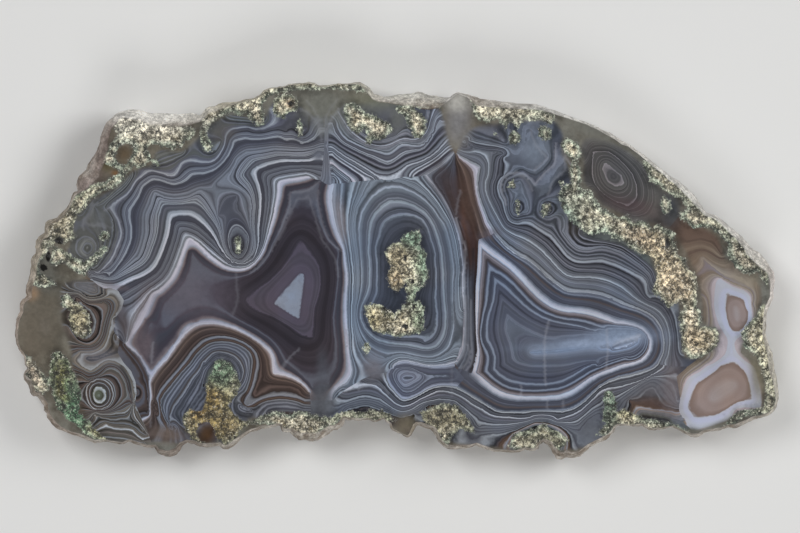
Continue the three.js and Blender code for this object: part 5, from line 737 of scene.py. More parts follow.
def spaced(points, step, closed=False):
    p = np.asarray(points, float)
    if closed:
        p = np.vstack([p, p[:1]])
    d = np.linalg.norm(np.diff(p, axis=0), axis=1)
    s = np.r_[0, np.cumsum(d)]
    n = max(2, int(math.ceil(s[-1] / step)) + 1)
    u = np.linspace(0, s[-1], n)
    return np.c_[np.interp(u, s, p[:, 0]), np.interp(u, s, p[:, 1])], u / max(s[-1], 1e-9)


def band_field(dom):
    """Level t of the banding: fixed on the named lines, even between them."""
    marks = []
    for d, line, t0, t1 in LEVELS_T:
        line = line if isinstance(line, str) else tuple(line)
        loop = line in CLOSED
        pts, u = spaced(LINES[line] if isinstance(line, str) else line, 0.2, loop)
        val = t0 + (t1 - t0) * u
        marks.append((d, pts, val))
        if line in EDGES:
            for ox, oy in ((0.5, 0), (-0.5, 0), (0, 0.5), (0, -0.5), (0.4, 0.4), (-0.4, 0.4), (0.4, -0.4), (-0.4, -0.4)):
                marks.append((d, pts + (ox, oy), val))
    for d, (name_a, a0, a1, ta), (name_b, b0, b1, tb), count in BETWEEN:
        a, _ = spaced(part_of(name_a, a0, a1), 0.5)
        b, _ = spaced(part_of(name_b, b0, b1), 0.5)
        n = 4 * max(len(a), len(b))
        a = np.c_[np.interp(np.linspace(0, 1, n), np.linspace(0, 1, len(a)), a[:, 0]),
                  np.interp(np.linspace(0, 1, n), np.linspace(0, 1, len(a)), a[:, 1])]
        b = np.c_[np.interp(np.linspace(0, 1, n), np.linspace(0, 1, len(b)), b[:, 0]),
                  np.interp(np.linspace(0, 1, n), np.linspace(0, 1, len(b)), b[:, 1])]
        for k in range(1, count + 1):
            f = k / (count + 1)
            marks.append((d, a + (b - a) * f, np.full(n, ta + (tb - ta) * f)))
    rounds = (60, 60, 80, 120, 160, 60)
    t = None
    for lev in range(len(rounds) - 1, -1, -1):
        f = 2 ** lev
        ny, nx = -(-GNY // f), -(-GNX // f)
        d = dom[::f, ::f][:ny, :nx]
        acc, cnt = np.zeros((ny, nx)), np.zeros((ny, nx))
        for k, pts, val in marks:
            j = np.round((pts[:, 0] - GX0) / (GH * f)).astype(int)
            i = np.round((pts[:, 1] - GY0) / (GH * f)).astype(int)
            ok = (i >= 0) & (j >= 0) & (i < ny) & (j < nx)
            i, j, v = i[ok], j[ok], val[ok]
            ok = d[i, j] == k
            np.add.at(acc, (i[ok], j[ok]), v[ok])
            np.add.at(cnt, (i[ok], j[ok]), 1)
        fixed = cnt > 0
        val = np.where(fixed, acc / np.maximum(cnt, 1), 0)
        if t is None:
            t = np.zeros((ny, nx))
            for k in np.unique(d):
                m = d == k
                v = val[m & fixed]
                t[m] = v.mean() if len(v) else 0
        else:
            t = np.repeat(np.repeat(t, 2, 0), 2, 1)[:ny, :nx]
        t = np.where(fixed, val, t)
        left, right, up, down = (np.zeros((ny, nx)) for _ in range(4))
        left[:, 1:] = right[:, :-1] = d[:, 1:] == d[:, :-1]
        up[1:] = down[:-1] = d[1:] == d[:-1]
        total = left + right + up + down
        free = ~fixed & (total > 0.5)
        total = np.maximum(total, 1e-9)
        odd = (np.add.outer(np.arange(ny), np.arange(nx)) % 2).astype(bool)
        for _ in range(rounds[lev]):
            for half in (odd, ~odd):
                a = np.zeros_like(t)
                a[:, 1:] += left[:, 1:] * t[:, :-1]
                a[:, :-1] += right[:, :-1] * t[:, 1:]
                a[1:] += up[1:] * t[:-1]
                a[:-1] += down[:-1] * t[1:]
                t = np.where(half & free, t + 1.75 * (a / total - t), t)
    return t


def sample(grid, x, y):
    fx = np.clip((x - GX0) / GH, 0, GNX - 1.001)
    fy = np.clip((y - GY0) / GH, 0, GNY - 1.001)
    j, i = fx.astype(int), fy.astype(int)
    u, v = fx - j, fy - i
    return (grid[i, j] * (1 - u) * (1 - v) + grid[i, j + 1] * u * (1 - v)
            + grid[i + 1, j] * (1 - u) * v + grid[i + 1, j + 1] * u * v)


def spread(t, mask, steps=9):
    """Carries a part's levels a little past its own edge."""
    ys, xs = np.nonzero(mask)
    i0, i1 = max(0, ys.min() - steps - 2), min(GNY, ys.max() + steps + 3)
    j0, j1 = max(0, xs.min() - steps - 2), min(GNX, xs.max() + steps + 3)
    m = mask[i0:i1, j0:j1].copy()
    v = np.where(m, t[i0:i1, j0:j1], 0.0)
    for _ in range(steps):
        s, c = np.zeros_like(v), np.zeros_like(v)
        for di, dj in ((0, 1), (0, -1), (1, 0), (-1, 0), (1, 1), (1, -1), (-1, 1), (-1, -1)):
            a = np.roll(np.roll(v * m, di, 0), dj, 1)
            b = np.roll(np.roll(m.astype(float), di, 0), dj, 1)
            s += a
            c += b
        new = ~m & (c > 0)
        v[new] = s[new] / c[new]
        m |= new
    out = np.zeros((GNY, GNX))
    out[i0:i1, j0:j1] = v
    return out


def line_distance(x, y, points, reach):
    """Distance to a polyline, no more than reach."""
    best = np.full(x.shape, float(reach))
    p = np.asarray(points, float)
    lo, hi = p.min(0) - reach, p.max(0) + reach
    near_by = np.nonzero((x > lo[0]) & (x < hi[0]) & (y > lo[1]) & (y < hi[1]))[0]
    if not len(near_by):
        return best
    qx, qy, b = x[near_by], y[near_by], best[near_by]
    for (ax, ay), (bx, by) in zip(p[:-1], p[1:]):
        dx, dy = bx - ax, by - ay
        s = np.clip(((qx - ax) * dx + (qy - ay) * dy) / max(dx * dx + dy * dy, 1e-9), 0, 1)
        b = np.minimum(b, np.hypot(qx - ax - s * dx, qy - ay - s * dy))
    best[near_by] = b
    return best


def hashed(ix, iy, iz, seed):
    h = (ix * 374761393 + iy * 668265263 + iz * 2147483647 + seed * 974711) & 0xFFFFFFFF
    h = ((h ^ (h >> 13)) * 1274126177) & 0xFFFFFFFF
    return ((h ^ (h >> 16)) & 0xFFFFFF) / float(0xFFFFFF)


def noise3(x, y, z, seed):
    ix, iy, iz = (np.floor(a).astype(np.int64) for a in (x, y, z))
    fx, fy, fz = x - ix, y - iy, z - iz
    fx, fy, fz = (a * a * (3 - 2 * a) for a in (fx, fy, fz))
    out = 0.0
    for cx in (0, 1):
        for cy in (0, 1):
            for cz in (0, 1):
                w = ((fx if cx else 1 - fx) * (fy if cy else 1 - fy) * (fz if cz else 1 - fz))
                out = out + w * hashed(ix + cx, iy + cy, iz + cz, seed)
    return out * 2 - 1


def rough3(x, y, z, size, seed, octaves=4):
    out, amp = 0.0, 1.0
    for k in range(octaves):
        out = out + amp * noise3(x / size, y / size, z / size, seed + k)
        size, amp = size * 0.5, amp * 0.55
    return out


# ---------------------------------------------------------------- the mesh
COUNT = len(RIM)
RIM_A = np.array(RIM)


def inward(i, reach):
    a, b = RIM_A[(i - reach) % COUNT], RIM_A[(i + reach) % COUNT]
    d = b[:2] - a[:2]
    d /= np.hypot(*d)
    return np.array([-d[1], d[0]])


IN_TOP = np.array([inward(i, 1 + int(RIM_A[i, 2] / 0.51)) for i in range(COUNT)])
IN_BACK = np.array([inward(i, 2) for i in range(COUNT)])
WOBBLE = 0.5 + 0.2 * np.sin(np.arange(COUNT) * 0.37) * np.sin(np.arange(COUNT) * 0.11 + 1.3)


def ring(shoulder, back):
    """The wall at one level, AROUND points to each rim segment, millimetres."""
    p = RIM_A[:, :2] + IN_TOP * (RIM_A[:, 2:3] * shoulder) + IN_BACK * (WOBBLE[:, None] * back)
    f = (np.arange(AROUND) / AROUND)[None, :, None]
    q = p[:, None, :] * (1 - f) + np.roll(p, -1, 0)[:, None, :] * f
    return q.reshape(-1, 2)


LEVEL_Z = [0.0, 1.7, 4.0, 6.3, 8.0, 9.0]
LEVEL_S = [0.0, 0.0, 0.0, 0.1, 0.5, 1.0]
LEVEL_B = [1.0, 0.3, 0.0, 0.0, 0.0, 0.0]


def to_units(p):
    return np.c_[p[:, 0] / (UNIT * 1000) + MID[0], MID[1] - p[:, 1] / (UNIT * 1000)]


def to_mm(p):
    return np.c_[(p[:, 0] - MID[0]) * UNIT * 1000, (MID[1] - p[:, 1]) * UNIT * 1000]


def hex_points(lo, hi, step, seed):
    ys = np.arange(lo[1], hi[1], step * 0.8660254)
    rows = []
    for k, y in enumerate(ys):
        xs = np.arange(lo[0] + (step / 2 if k % 2 else 0), hi[0], step)
        rows.append(np.c_[xs, np.full(len(xs), y)])
    p = np.vstack(rows)
    rng = np.random.RandomState(seed)
    return p + rng.uniform(-0.16, 0.16, p.shape) * step


def thin(points, guides, gap):
    """Leaves out the points that lie within gap of a guide point."""
    cell = {}
    for gx, gy in guides:
        cell.setdefault((int(gx // gap), int(gy // gap)), []).append((gx, gy))
    keep = []
    for k, (x, y) in enumerate(points):
        cx, cy = int(x // gap), int(y // gap)
        ok = True
        for ix in (cx - 1, cx, cx + 1):
            for iy in (cy - 1, cy, cy + 1):
                for gx, gy in cell.get((ix, iy), ()):
                    if (gx - x) ** 2 + (gy - y) ** 2 < gap * gap:
                        ok = False
                        break
                if not ok:
                    break
            if not ok:
                break
        if ok:
            keep.append(k)
    return points[keep]


def triangulate(loop, chains, step, seed):
    """Fills the closed loop with even triangles that follow the chains.
    Returns points, triangles, and the index of each point of the loop."""
    verts, edges = [tuple(p) for p in loop], []
    n = len(loop)
    edges += [(i, (i + 1) % n) for i in range(n)]
    guides = list(loop)
    for chain in chains:
        start = len(verts)
        verts += [tuple(p) for p in chain]
        edges += [(start + i, start + i + 1) for i in range(len(chain) - 1)]
        guides += list(chain)
    lo, hi = loop.min(0), loop.max(0)
    p = hex_points(lo, hi, step, seed)
    p = p[inside(loop, p[:, 0], p[:, 1])]
    p = thin(p, guides, step * 0.62)
    verts += [tuple(q) for q in p]
    out = geometry.delaunay_2d_cdt([Vector(v) for v in verts], edges, [], 0, 1e-4, True)
    pts = np.array([(v.x, v.y) for v in out[0]])
    tris = np.array([f for f in out[2] if len(f) == 3])
    cen = pts[tris].mean(1)
    tris = tris[inside(loop, cen[:, 0], cen[:, 1])]
    a, b, c = pts[tris[:, 0]], pts[tris[:, 1]], pts[tris[:, 2]]
    area = (b[:, 0] - a[:, 0]) * (c[:, 1] - a[:, 1]) - (b[:, 1] - a[:, 1]) * (c[:, 0] - a[:, 0])
    tris[area < 0] = tris[area < 0][:, ::-1]
    where = np.full(n, -1)
    for k, src in enumerate(out[3]):
        for s in src:
            if s < n:
                where[s] = k
    return pts, tris, where


def border_chains(polys, clear):
    """The edges between the stone's parts, as chains of points."""
    chains = []
    for k, poly in enumerate(polys):
        pts, _ = spaced(poly, 2.0, True)
        ok = clear(pts)
        for later in polys[k + 1:]:
            ok &= ~inside(later, pts[:, 0], pts[:, 1])
        run = []
        for p, o in zip(pts, ok):
            if o:
                run.append(p)
            else:
                if len(run) > 1:
                    chains.append(np.array(run))
                run = []
        if len(run) > 1:
            chains.append(np.array(run))
    return chains


def apart(chains, gap):
    """Drops the points of a chain that fall on an earlier chain."""
    cell, out = {}, []
    for chain in chains:
        run, kept = [], []
        for x, y in chain:
            c = (int(x // gap), int(y // gap))
            clash = any((gx - x) ** 2 + (gy - y) ** 2 < gap * gap
                        for ix in (-1, 0, 1) for iy in (-1, 0, 1)
                        for gx, gy in cell.get((c[0] + ix, c[1] + iy), ()))
            if clash:
                if len(run) > 1:
                    out.append(np.array(run))
                run = []
            else:
                run.append((x, y))
                kept.append((x, y))
        if len(run) > 1:
            out.append(np.array(run))
        for x, y in kept:
            cell.setdefault((int(x // gap), int(y // gap)), []).append((x, y))
    return out


polys = [outline_of(spec) for _, spec in PARTS]
ids = [k for k, _ in PARTS]
dom_grid = np.zeros((GNY, GNX), np.int16)
for k, poly in zip(ids, polys):
    dom_grid[grid_inside(poly)] = k
t_grid = band_field(dom_grid)

# the polished face
top_ring_mm = ring(1.0, 0.0)
top_loop = to_units(top_ring_mm)


def clear_of_rim(p):
    ok = inside(top_loop, p[:, 0], p[:, 1])
    d = line_distance(p[:, 0], p[:, 1], np.vstack([top_loop, top_loop[:1]]), 3.0)
    return ok & (d > 1.2)


chains = border_chains(polys, clear_of_rim)
cracks = []
for pts, _, _ in LIGHT_LINES + DARK_LINES:
    q, _ = spaced(pts, 2.0)
    if len(q) > 1 and clear_of_rim(q).all():
        cracks.append(q)
chains = apart(cracks + chains, 1.0)
top_pts, top_tris, top_where = triangulate(top_loop, chains, EDGE, 7)
top_tris = top_tris[:, ::-1]     # y runs down in drawing units, so this faces up

n_top = len(top_pts)
cen = top_pts[top_tris].mean(1)
tri_dom = np.zeros(len(top_tris), int)
for k, poly in zip(ids, polys):
    tri_dom[inside(poly, cen[:, 0], cen[:, 1])] = k
corner_t = np.zeros((len(top_tris), 3))
for k in sorted(set(ids)):
    rows = np.nonzero(tri_dom == k)[0]
    if len(rows):
        ext = spread(t_grid, dom_grid == k)
        q = top_pts[top_tris[rows].ravel()]
        corner_t[rows] = sample(ext, q[:, 0], q[:, 1]).reshape(-1, 3)

# the wall, level by level, from the face down to the back
zs = np.r_[9.0, 8.8, 8.55, 8.25, np.linspace(7.95, 0.35, RINGS - 4), 0.0]
wall = []
for z in zs:
    wall.append(np.c_[ring(np.interp(z, LEVEL_Z, LEVEL_S), np.interp(z, LEVEL_Z, LEVEL_B)), np.full(COUNT * AROUND, z)])
wall = np.array(wall)                       # level, around, xyz
n_round = wall.shape[1]
step = np.roll(wall[:, :, :2], -2, 1) - np.roll(wall[:, :, :2], 2, 1)
step /= np.maximum(np.linalg.norm(step, axis=2, keepdims=True), 1e-9)
out_dir = np.stack([step[..., 1], -step[..., 0]], -1)
flat = wall.reshape(-1, 3)
bump = (rough3(flat[:, 0], flat[:, 1], flat[:, 2], 3.2, 11) * 0.26
        + rough3(flat[:, 0], flat[:, 1], flat[:, 2], 0.9, 31, 3) * 0.12).reshape(wall.shape[:2])
fade = np.clip((9.0 - wall[..., 2]) / 1.0, 0, 1) * np.clip(wall[..., 2] / 0.5, 0, 1)
wall[..., :2] += out_dir * (bump * fade)[..., None]
drop = rough3(flat[:, 0], flat[:, 1], flat[:, 2], 1.4, 51, 3).reshape(wall.shape[:2]) * 0.10
wall[1:-1, :, 2] = np.clip(wall[1:-1, :, 2] + (drop * fade)[1:-1], 0.1, 8.95)

# the sawn back
back_loop = wall[-1, :, :2].copy()
back_pts, back_tris, back_where = triangulate(back_loop, [], 1.5, 19)
back_tris = back_tris[:, ::-1]

# one closed body from the three
top_xy = to_mm(top_pts)
verts = [np.c_[top_xy, np.full(n_top, 9.0)]]
index = np.full((len(zs), n_round), -1)
index[0] = top_where
at = n_top
for k in range(1, len(zs) - 1):
    verts.append(wall[k])
    index[k] = at + np.arange(n_round)
    at += n_round
verts.append(np.c_[back_pts, np.zeros(len(back_pts))])
index[-1] = at + back_where
verts = np.vstack(verts)
nxt = np.roll(np.arange(n_round), -1)
strips = []
for k in range(len(zs) - 1):
    a, b = index[k], index[k][nxt]
    c, d = index[k + 1][nxt], index[k + 1]
    even = (np.arange(n_round) + k) % 2 == 0
    strips.append(np.where(even[:, None], np.c_[a, d, c], np.c_[a, d, b]))
    strips.append(np.where(even[:, None], np.c_[a, c, b], np.c_[d, c, b]))
side_tris = np.vstack(strips)
tris = np.vstack([top_tris, side_tris, back_tris + at])
assert (index >= 0).all()

# every corner of the shape, in drawing units
ux = verts[:, 0] / (UNIT * 1000) + MID[0]
uy = MID[1] - verts[:, 1] / (UNIT * 1000)
moss = np.full(len(verts), -12.0)
for loop in GROWTHS:
    p = np.array(loop)
    d = line_distance(ux, uy, np.vstack([p, p[:1]]), 12.0)
    moss = np.maximum(moss, np.where(inside(p, ux, uy), d, -d))


for loop in BARE:
    p = np.array(loop)
    d = line_distance(ux, uy, np.vstack([p, p[:1]]), 12.0)
    moss = np.minimum(moss, np.where(inside(p, ux, uy), -d, d))

veil_grid = (dom_grid == 0).astype(float)
for _ in range(3):
    for axis in (0, 1):
        veil_grid = sum(np.roll(veil_grid, k, axis) for k in range(-7, 8)) / 15
veil = np.where(np.arange(len(verts)) < n_top, sample(veil_grid, ux, uy), 0)


def patches(table):
    rgb, amount = np.zeros((len(verts), 3)), np.zeros(len(verts))
    for x, y, rx, ry, turn, strength, tone in table:
        c, s = math.cos(math.radians(turn)), math.sin(math.radians(turn))
        dx, dy = ux - x, uy - y
        u, v = (dx * c + dy * s) / rx, (-dx * s + dy * c) / ry
        w = strength * np.exp(-(u * u + v * v) ** 1.4)
        lin = np.array([linear(q) for q in tone])
        rgb = rgb * (1 - w)[:, None] + lin * w[:, None]
        amount = amount * (1 - w) + w
    rgb = rgb / np.maximum(amount, 1e-6)[:, None]
    return np.c_[rgb, amount]


def linear(v):
    v = v / 255
    return v / 12.92 if v <= 0.04045 else ((v + 0.055) / 1.055) ** 2.4


def line_strength(table):
    out = np.zeros(len(verts))
    for pts, half, amount in table:
        d = line_distance(ux, uy, pts, 6.0)
        out = np.maximum(out, 0.65 * amount * np.clip(1 - d / (half * 1.8), 0, 1))
    return out


hole = np.zeros(len(verts))
for x, y, rx, ry in HOLES:
    hole = np.maximum(hole, np.exp(-(((ux - x) / rx) ** 2 + ((uy - y) / ry) ** 2) ** 1.5))
light, dark = line_strength(LIGHT_LINES), line_strength(DARK_LINES)
side = np.clip((9.0 - verts[:, 2]) / 0.35, 0, 1)

# small relief of the mossy growths on the face
face = np.arange(len(verts)) < n_top
rim_far = line_distance(ux, uy, np.vstack([top_loop, top_loop[:1]]), 4.0)
soft = np.clip(moss / 3, 0, 1) * np.clip(rim_far / 4, 0, 1) * face
grain = rough3(verts[:, 0], verts[:, 1], verts[:, 2], 0.7, 71, 3)
verts[:, 2] += soft * (grain * 0.05 - 0.05) - hole * soft * 0.5

mesh = bpy.data.meshes.new("agate_stone")
mesh.vertices.add(len(verts))
mesh.vertices.foreach_set("co", (verts * 0.001).ravel())
mesh.loops.add(len(tris) * 3)
mesh.loops.foreach_set("vertex_index", tris.ravel().astype(np.int32))
mesh.polygons.add(len(tris))
mesh.polygons.foreach_set("loop_start", np.arange(0, len(tris) * 3, 3, dtype=np.int32))
mesh.update(calc_edges=True)
mesh.validate()
assert len(mesh.polygons) == len(tris)


def store(name, kind, where, values):
    a = mesh.attributes.new(name, kind, where)
    a.data.foreach_set("color" if kind == "FLOAT_COLOR" else "value", np.ascontiguousarray(values, np.float32).ravel())


all_t = np.zeros((len(tris), 3))
all_t[:len(top_tris)] = corner_t
all_dom = np.zeros(len(tris))
all_dom[:len(top_tris)] = tri_dom
store("t", "FLOAT", "CORNER", all_t)
store("part", "FLOAT", "FACE", all_dom)
store("moss", "FLOAT", "POINT", moss)
store("veil", "FLOAT", "POINT", veil)
vivid = np.zeros(len(tris))
vivid[:len(top_tris)] = [LINE_GAIN.get(int(k), 1.0) if k else 0.0 for k in tri_dom]
store("vivid", "FLOAT", "FACE", vivid)
store("rim_patch", "FLOAT_COLOR", "POINT", patches(RIM_PATCHES))
store("light", "FLOAT", "POINT", light)
store("dark", "FLOAT", "POINT", dark)
store("hole", "FLOAT", "POINT", hole)
store("wall", "FLOAT", "POINT", side)
store("patch", "FLOAT_COLOR", "POINT", patches(PATCHES))
store("moss_patch", "FLOAT_COLOR", "POINT", patches(MOSS_PATCHES))

# a flat map of the surface: the face, the back and the wall side by side
uv = mesh.uv_layers.new(name="OFBake")
co = verts[tris.ravel()]
span = 134.0
u = (co[:, 0] + 67) / span
v = (co[:, 1] + 33.5) / span + 0.498
n_t, n_s = len(top_tris) * 3, len(side_tris) * 3
v[n_t + n_s:] = (co[n_t + n_s:, 1] + 33.5) / span * 0.5 + 0.2
u[n_t + n_s:] = u[n_t + n_s:] * 0.5
around = np.full(len(verts), 0.0)
for k in range(len(zs)):
    around[index[k]] = np.arange(n_round) / n_round
su = around[tris.ravel()[n_t:n_t + n_s]].reshape(-1, 3)
wrap = (su.max(1) - su.min(1)) > 0.5
su[wrap] = np.where(su[wrap] < 0.5, su[wrap] + 1, su[wrap])
su = su.ravel()
sv = (9.2 - co[n_t:n_t + n_s, 2]) / 9.4
u[n_t:n_t + n_s] = su * 0.985 + 0.003
v[n_t:n_t + n_s] = 0.005 + sv * 0.17
uv.data.foreach_set("uv", np.c_[u, v].astype(np.float32).ravel())

stone = bpy.data.objects.new("agate_stone", mesh)
bpy.context.scene.collection.objects.link(stone)
flags = np.zeros(len(tris), bool)
flags[:] = True
mesh.polygons.foreach_set("use_smooth", flags)
edge_sharp = mesh.attributes.new("sharp_edge", "BOOLEAN", "EDGE")
ring_set = {}
for k in (0, len(zs) - 1):
    for i in range(n_round):
        a, b = int(index[k][i]), int(index[k][(i + 1) % n_round])
        ring_set[(min(a, b), max(a, b))] = True
ev = np.zeros(len(mesh.edges) * 2, np.int32)
mesh.edges.foreach_get("vertices", ev)
ev = np.sort(ev.reshape(-1, 2), 1)
edge_sharp.data.foreach_set("value", np.array([(int(a), int(b)) in ring_set for a, b in ev], bool))

# ---------------------------------------------------------------- the material
mat = bpy.data.materials.new("agate")
mat.use_nodes = True
tree = mat.node_tree
tree.nodes.clear()


def new(kind, **values):
    n = tree.nodes.new(kind)
    for k, v in values.items():
        setattr(n, k, v)
    return n


def put(socket, value):
    if hasattr(value, "is_output"):
        tree.links.new(value, socket)
    else:
        socket.default_value = value


def attr(name, out="Fac"):
    n = new("ShaderNodeAttribute", attribute_name=name)
    return n.outputs[out]


def calc(op, a, b=0.0, c=0.0, clamp=False):
    n = new("ShaderNodeMath", operation=op, use_clamp=clamp)
    put(n.inputs[0], a)
    put(n.inputs[1], b)
    put(n.inputs[2], c)
    return n.outputs[0]


def smooth(v, lo, hi, a=0.0, b=1.0):
    n = new("ShaderNodeMapRange", interpolation_type="SMOOTHSTEP")
    put(n.inputs["Value"], v)
    put(n.inputs["From Min"], lo)
    put(n.inputs["From Max"], hi)
    put(n.inputs["To Min"], a)
    put(n.inputs["To Max"], b)
    return n.outputs["Result"]


def noise(vector, scale, detail=3.0, rough=0.55, w=None, kind="3D"):
    n = new("ShaderNodeTexNoise", noise_dimensions=kind)
    if vector is not None:
        put(n.inputs["Vector"], vector)
    if w is not None:
        put(n.inputs["W"], w)
    put(n.inputs["Scale"], scale)
    put(n.inputs["Detail"], detail)
    put(n.inputs["Roughness"], rough)
    return n.outputs["Fac"]


def mix(a, b, f, blend="MIX"):
    n = new("ShaderNodeMix", data_type="RGBA", blend_type=blend)
    put(n.inputs["Factor"], f)
    put(n.inputs["A"], a)
    put(n.inputs["B"], b)
    return n.outputs["Result"]


def lin(tone):
    return tuple(linear(v) for v in tone) + (1.0,)


def gain(color, f):
    n = new("ShaderNodeVectorMath", operation="SCALE")
    put(n.inputs[0], color)
    put(n.inputs["Scale"], f)
    return n.outputs[0]


def ramp(value, stops, k, mid, cast):
    def tone(name):
        return lin(tuple(min(top, max(10.0, (m + (v - m) * k) * c)) for v, m, c, top in zip(TONES[name], mid, cast, (180.0, 183.0, 203.0))))

    lo, hi = stops[0][0], stops[-1][0]
    n = new("ShaderNodeValToRGB")
    e = n.color_ramp.elements
    e[0].position, e[0].color = 0.0, tone(stops[0][1])
    e[1].position, e[1].color = 1.0, tone(stops[-1][1])
    for at, name in stops[1:-1]:
        stop = e.new((at - lo) / (hi - lo))
        stop.color = tone(name)
    put(n.inputs["Fac"], smooth_line(value, lo, hi))
    return n.outputs["Color"]


def banding(value, text, k, cast):
    """The tones of one part along t, in ramps of at most 24 stops."""
    stops = [(float(s.split(":")[0]), s.split(":")[1]) for s in text.split()]
    far = [(b[0] - a[0], a[1], b[1]) for a, b in zip(stops, stops[1:])]
    mid = [sum(d * (TONES[a][c] + TONES[b][c]) / 2 for d, a, b in far) / sum(d for d, _, _ in far) for c in range(3)]
    color, at = None, 0
    while at == 0 or at < len(stops) - 1:
        some = stops[at:at + 24]
        c = ramp(value, some, k, mid, cast)
        color = c if color is None else mix(color, c, calc("GREATER_THAN", value, some[0][0]))
        at += len(some) - 1
    return color


def smooth_line(v, lo, hi):
    n = new("ShaderNodeMapRange")
    put(n.inputs["Value"], v)
    put(n.inputs["From Min"], lo)
    put(n.inputs["From Max"], hi)
    return n.outputs["Result"]


obj = new("ShaderNodeTexCoord").outputs["Object"]
mm = gain(obj, 1000.0)                     # millimetres
t, part = attr("t"), attr("part")
moss, wall_f = attr("moss"), attr("wall")

# the bands: a slight waver, then each part's own order of tones
waver = calc("SUBTRACT", noise(mm, 0.9, 2.0), 0.5)
tw = calc("ADD", t, calc("MULTIPLY", waver, 0.9))
color = None
for k, text in BANDS.items():
    c = banding(tw, text, CONTRAST.get(k, 1.0), CAST.get(k, (1.0, 1.0, 1.0)))
    if color is None:
        color = c
    else:
        color = mix(color, c, calc("COMPARE", part, float(k), 0.5))

# thin growth lines inside the bands
key = calc("ADD", tw, calc("MULTIPLY", part, 37.3))
fine = noise(None, 0.42, 1.0, 0.5, key, "1D")
finer = noise(None, 0.9, 0.0, 0.5, key, "1D")
strength = noise(mm, 0.12, 1.0)
lines = calc("SUBTRACT", smooth(fine, 0.5, 0.72, 0.0, 0.26), smooth(fine, 0.28, 0.48, 0.16, 0.0))
lines = calc("ADD", lines, calc("SUBTRACT", smooth(finer, 0.55, 0.75, 0.0, 0.2), 0.03))
lines = calc("MULTIPLY", lines, smooth(strength, 0.3, 0.7, 0.8, 1.9))
lines = calc("MULTIPLY", lines, attr("vivid"))
color = gain(color, calc("ADD", 1.0, lines))
top = new("ShaderNodeVectorMath", operation="MINIMUM")
put(top.inputs[0], color)
top.inputs[1].default_value = lin((194, 197, 214))[:3]
color = top.outputs[0]

# the clear grey-brown ground, which the bands fade into
ground = mix(lin((96, 92, 83)), lin((122, 120, 111)), smooth(noise(mm, 0.3, 4.0), 0.36, 0.64))
ground = gain(ground, smooth(noise(mm, 2.2, 4.0, 0.7), 0.3, 0.7, 0.9, 1.1))
color = mix(color, ground, smooth(attr("veil"), 0.04, 0.5))

# slow changes of tone, clouds and a warm or cool cast
cloud = noise(mm, 0.16, 3.0)
color = gain(color, smooth(cloud, 0.25, 0.75, 0.90, 1.10))
cast = noise(mm, 0.07, 2.0)
warm = mix(color, (1.06, 1.0, 0.94, 1.0), 1.0, "MULTIPLY")
cool = mix(color, (0.96, 1.0, 1.05, 1.0), 1.0, "MULTIPLY")
color = mix(cool, warm, smooth(cast, 0.35, 0.65))
speck = noise(mm, 7.0, 2.0)
color = gain(color, smooth(speck, 0.3, 0.7, 0.965, 1.035))
# the soft patches: the stone's own tones, with painted shade next to the mossy growths and a painted highlight at
# 86,182
pc = new("ShaderNodeAttribute", attribute_name="patch")
color = mix(color, gain(pc.outputs["Color"], smooth(noise(mm, 1.3, 4.0), 0.25, 0.75, 0.86, 1.14)), pc.outputs["Alpha"])
color = mix(color, lin((186, 188, 200)), attr("light"))
# the dark lines: healed cracks, and painted shadow beside the white star curve
color = mix(color, lin((24, 24, 28)), attr("dark"))

# the mossy growths and the crust: grains with painted shade in the dark gaps between them
warpn = new("ShaderNodeTexNoise")
put(warpn.inputs["Vector"], mm)
put(warpn.inputs["Scale"], 2.2)
put(warpn.inputs["Detail"], 3.0)
bent = new("ShaderNodeVectorMath", operation="MULTIPLY_ADD")
put(bent.inputs[0], warpn.outputs["Color"])
bent.inputs[1].default_value = (1.1, 1.1, 1.1)
put(bent.inputs[2], mm)
cells = new("ShaderNodeTexVoronoi", feature="F1")
put(cells.inputs["Vector"], bent.outputs[0])
put(cells.inputs["Scale"], 1.35)
cells2 = new("ShaderNodeTexVoronoi", feature="F1")
put(cells2.inputs["Vector"], bent.outputs[0])
put(cells2.inputs["Scale"], 3.0)
cells3 = new("ShaderNodeTexVoronoi", feature="F1")
put(cells3.inputs["Vector"], bent.outputs[0])
put(cells3.inputs["Scale"], 5.6)
edge_noise = calc("SUBTRACT", noise(mm, 1.5, 6.0, 0.74), 0.5)
md = calc("ADD", moss, calc("MULTIPLY", edge_noise, 13.0))
mask = smooth(md, -0.5, 1.0)
g1 = smooth(cells.outputs["Distance"], 0.15, 0.75, 1.0, 0.0)
g2 = smooth(cells2.outputs["Distance"], 0.2, 0.8, 1.0, 0.0)
g3 = smooth(cells3.outputs["Distance"], 0.2, 0.8, 1.0, 0.0)
mot = noise(mm, 0.9, 6.0, 0.75)
patchy = noise(mm, 0.36, 3.0, 0.6)
# the growths' own green edges and cream middles, with painted light too: lighter along their middles, darker towards
# their edges
deep = smooth(calc("ADD", moss, calc("MULTIPLY", calc("SUBTRACT", patchy, 0.5), 14.0)), 1.2, 8.5)
body = mix(mix(lin((70, 82, 72)), lin((172, 180, 160)), smooth(mot, 0.38, 0.60)),
           mix(lin((122, 112, 88)), lin((236, 226, 200)), smooth(mot, 0.38, 0.60)), deep)
mp = new("ShaderNodeAttribute", attribute_name="moss_patch")
body = mix(body, gain(mp.outputs["Color"], smooth(mot, 0.34, 0.66, 0.45, 1.6)), calc("MULTIPLY", mp.outputs["Alpha"], 0.95))
shade = calc("ADD", calc("ADD", calc("MULTIPLY", g1, 0.54), calc("MULTIPLY", g2, 0.38)), calc("MULTIPLY", g3, 0.3))
# painted light and shade on the grains: each grain lighter in its middle and darker towards its edges
body = gain(body, smooth(shade, 0.17, 0.93, 0.18, 1.68))
body = gain(body, smooth(noise(mm, 0.3, 4.0, 0.62), 0.34, 0.64, 0.52, 1.34))
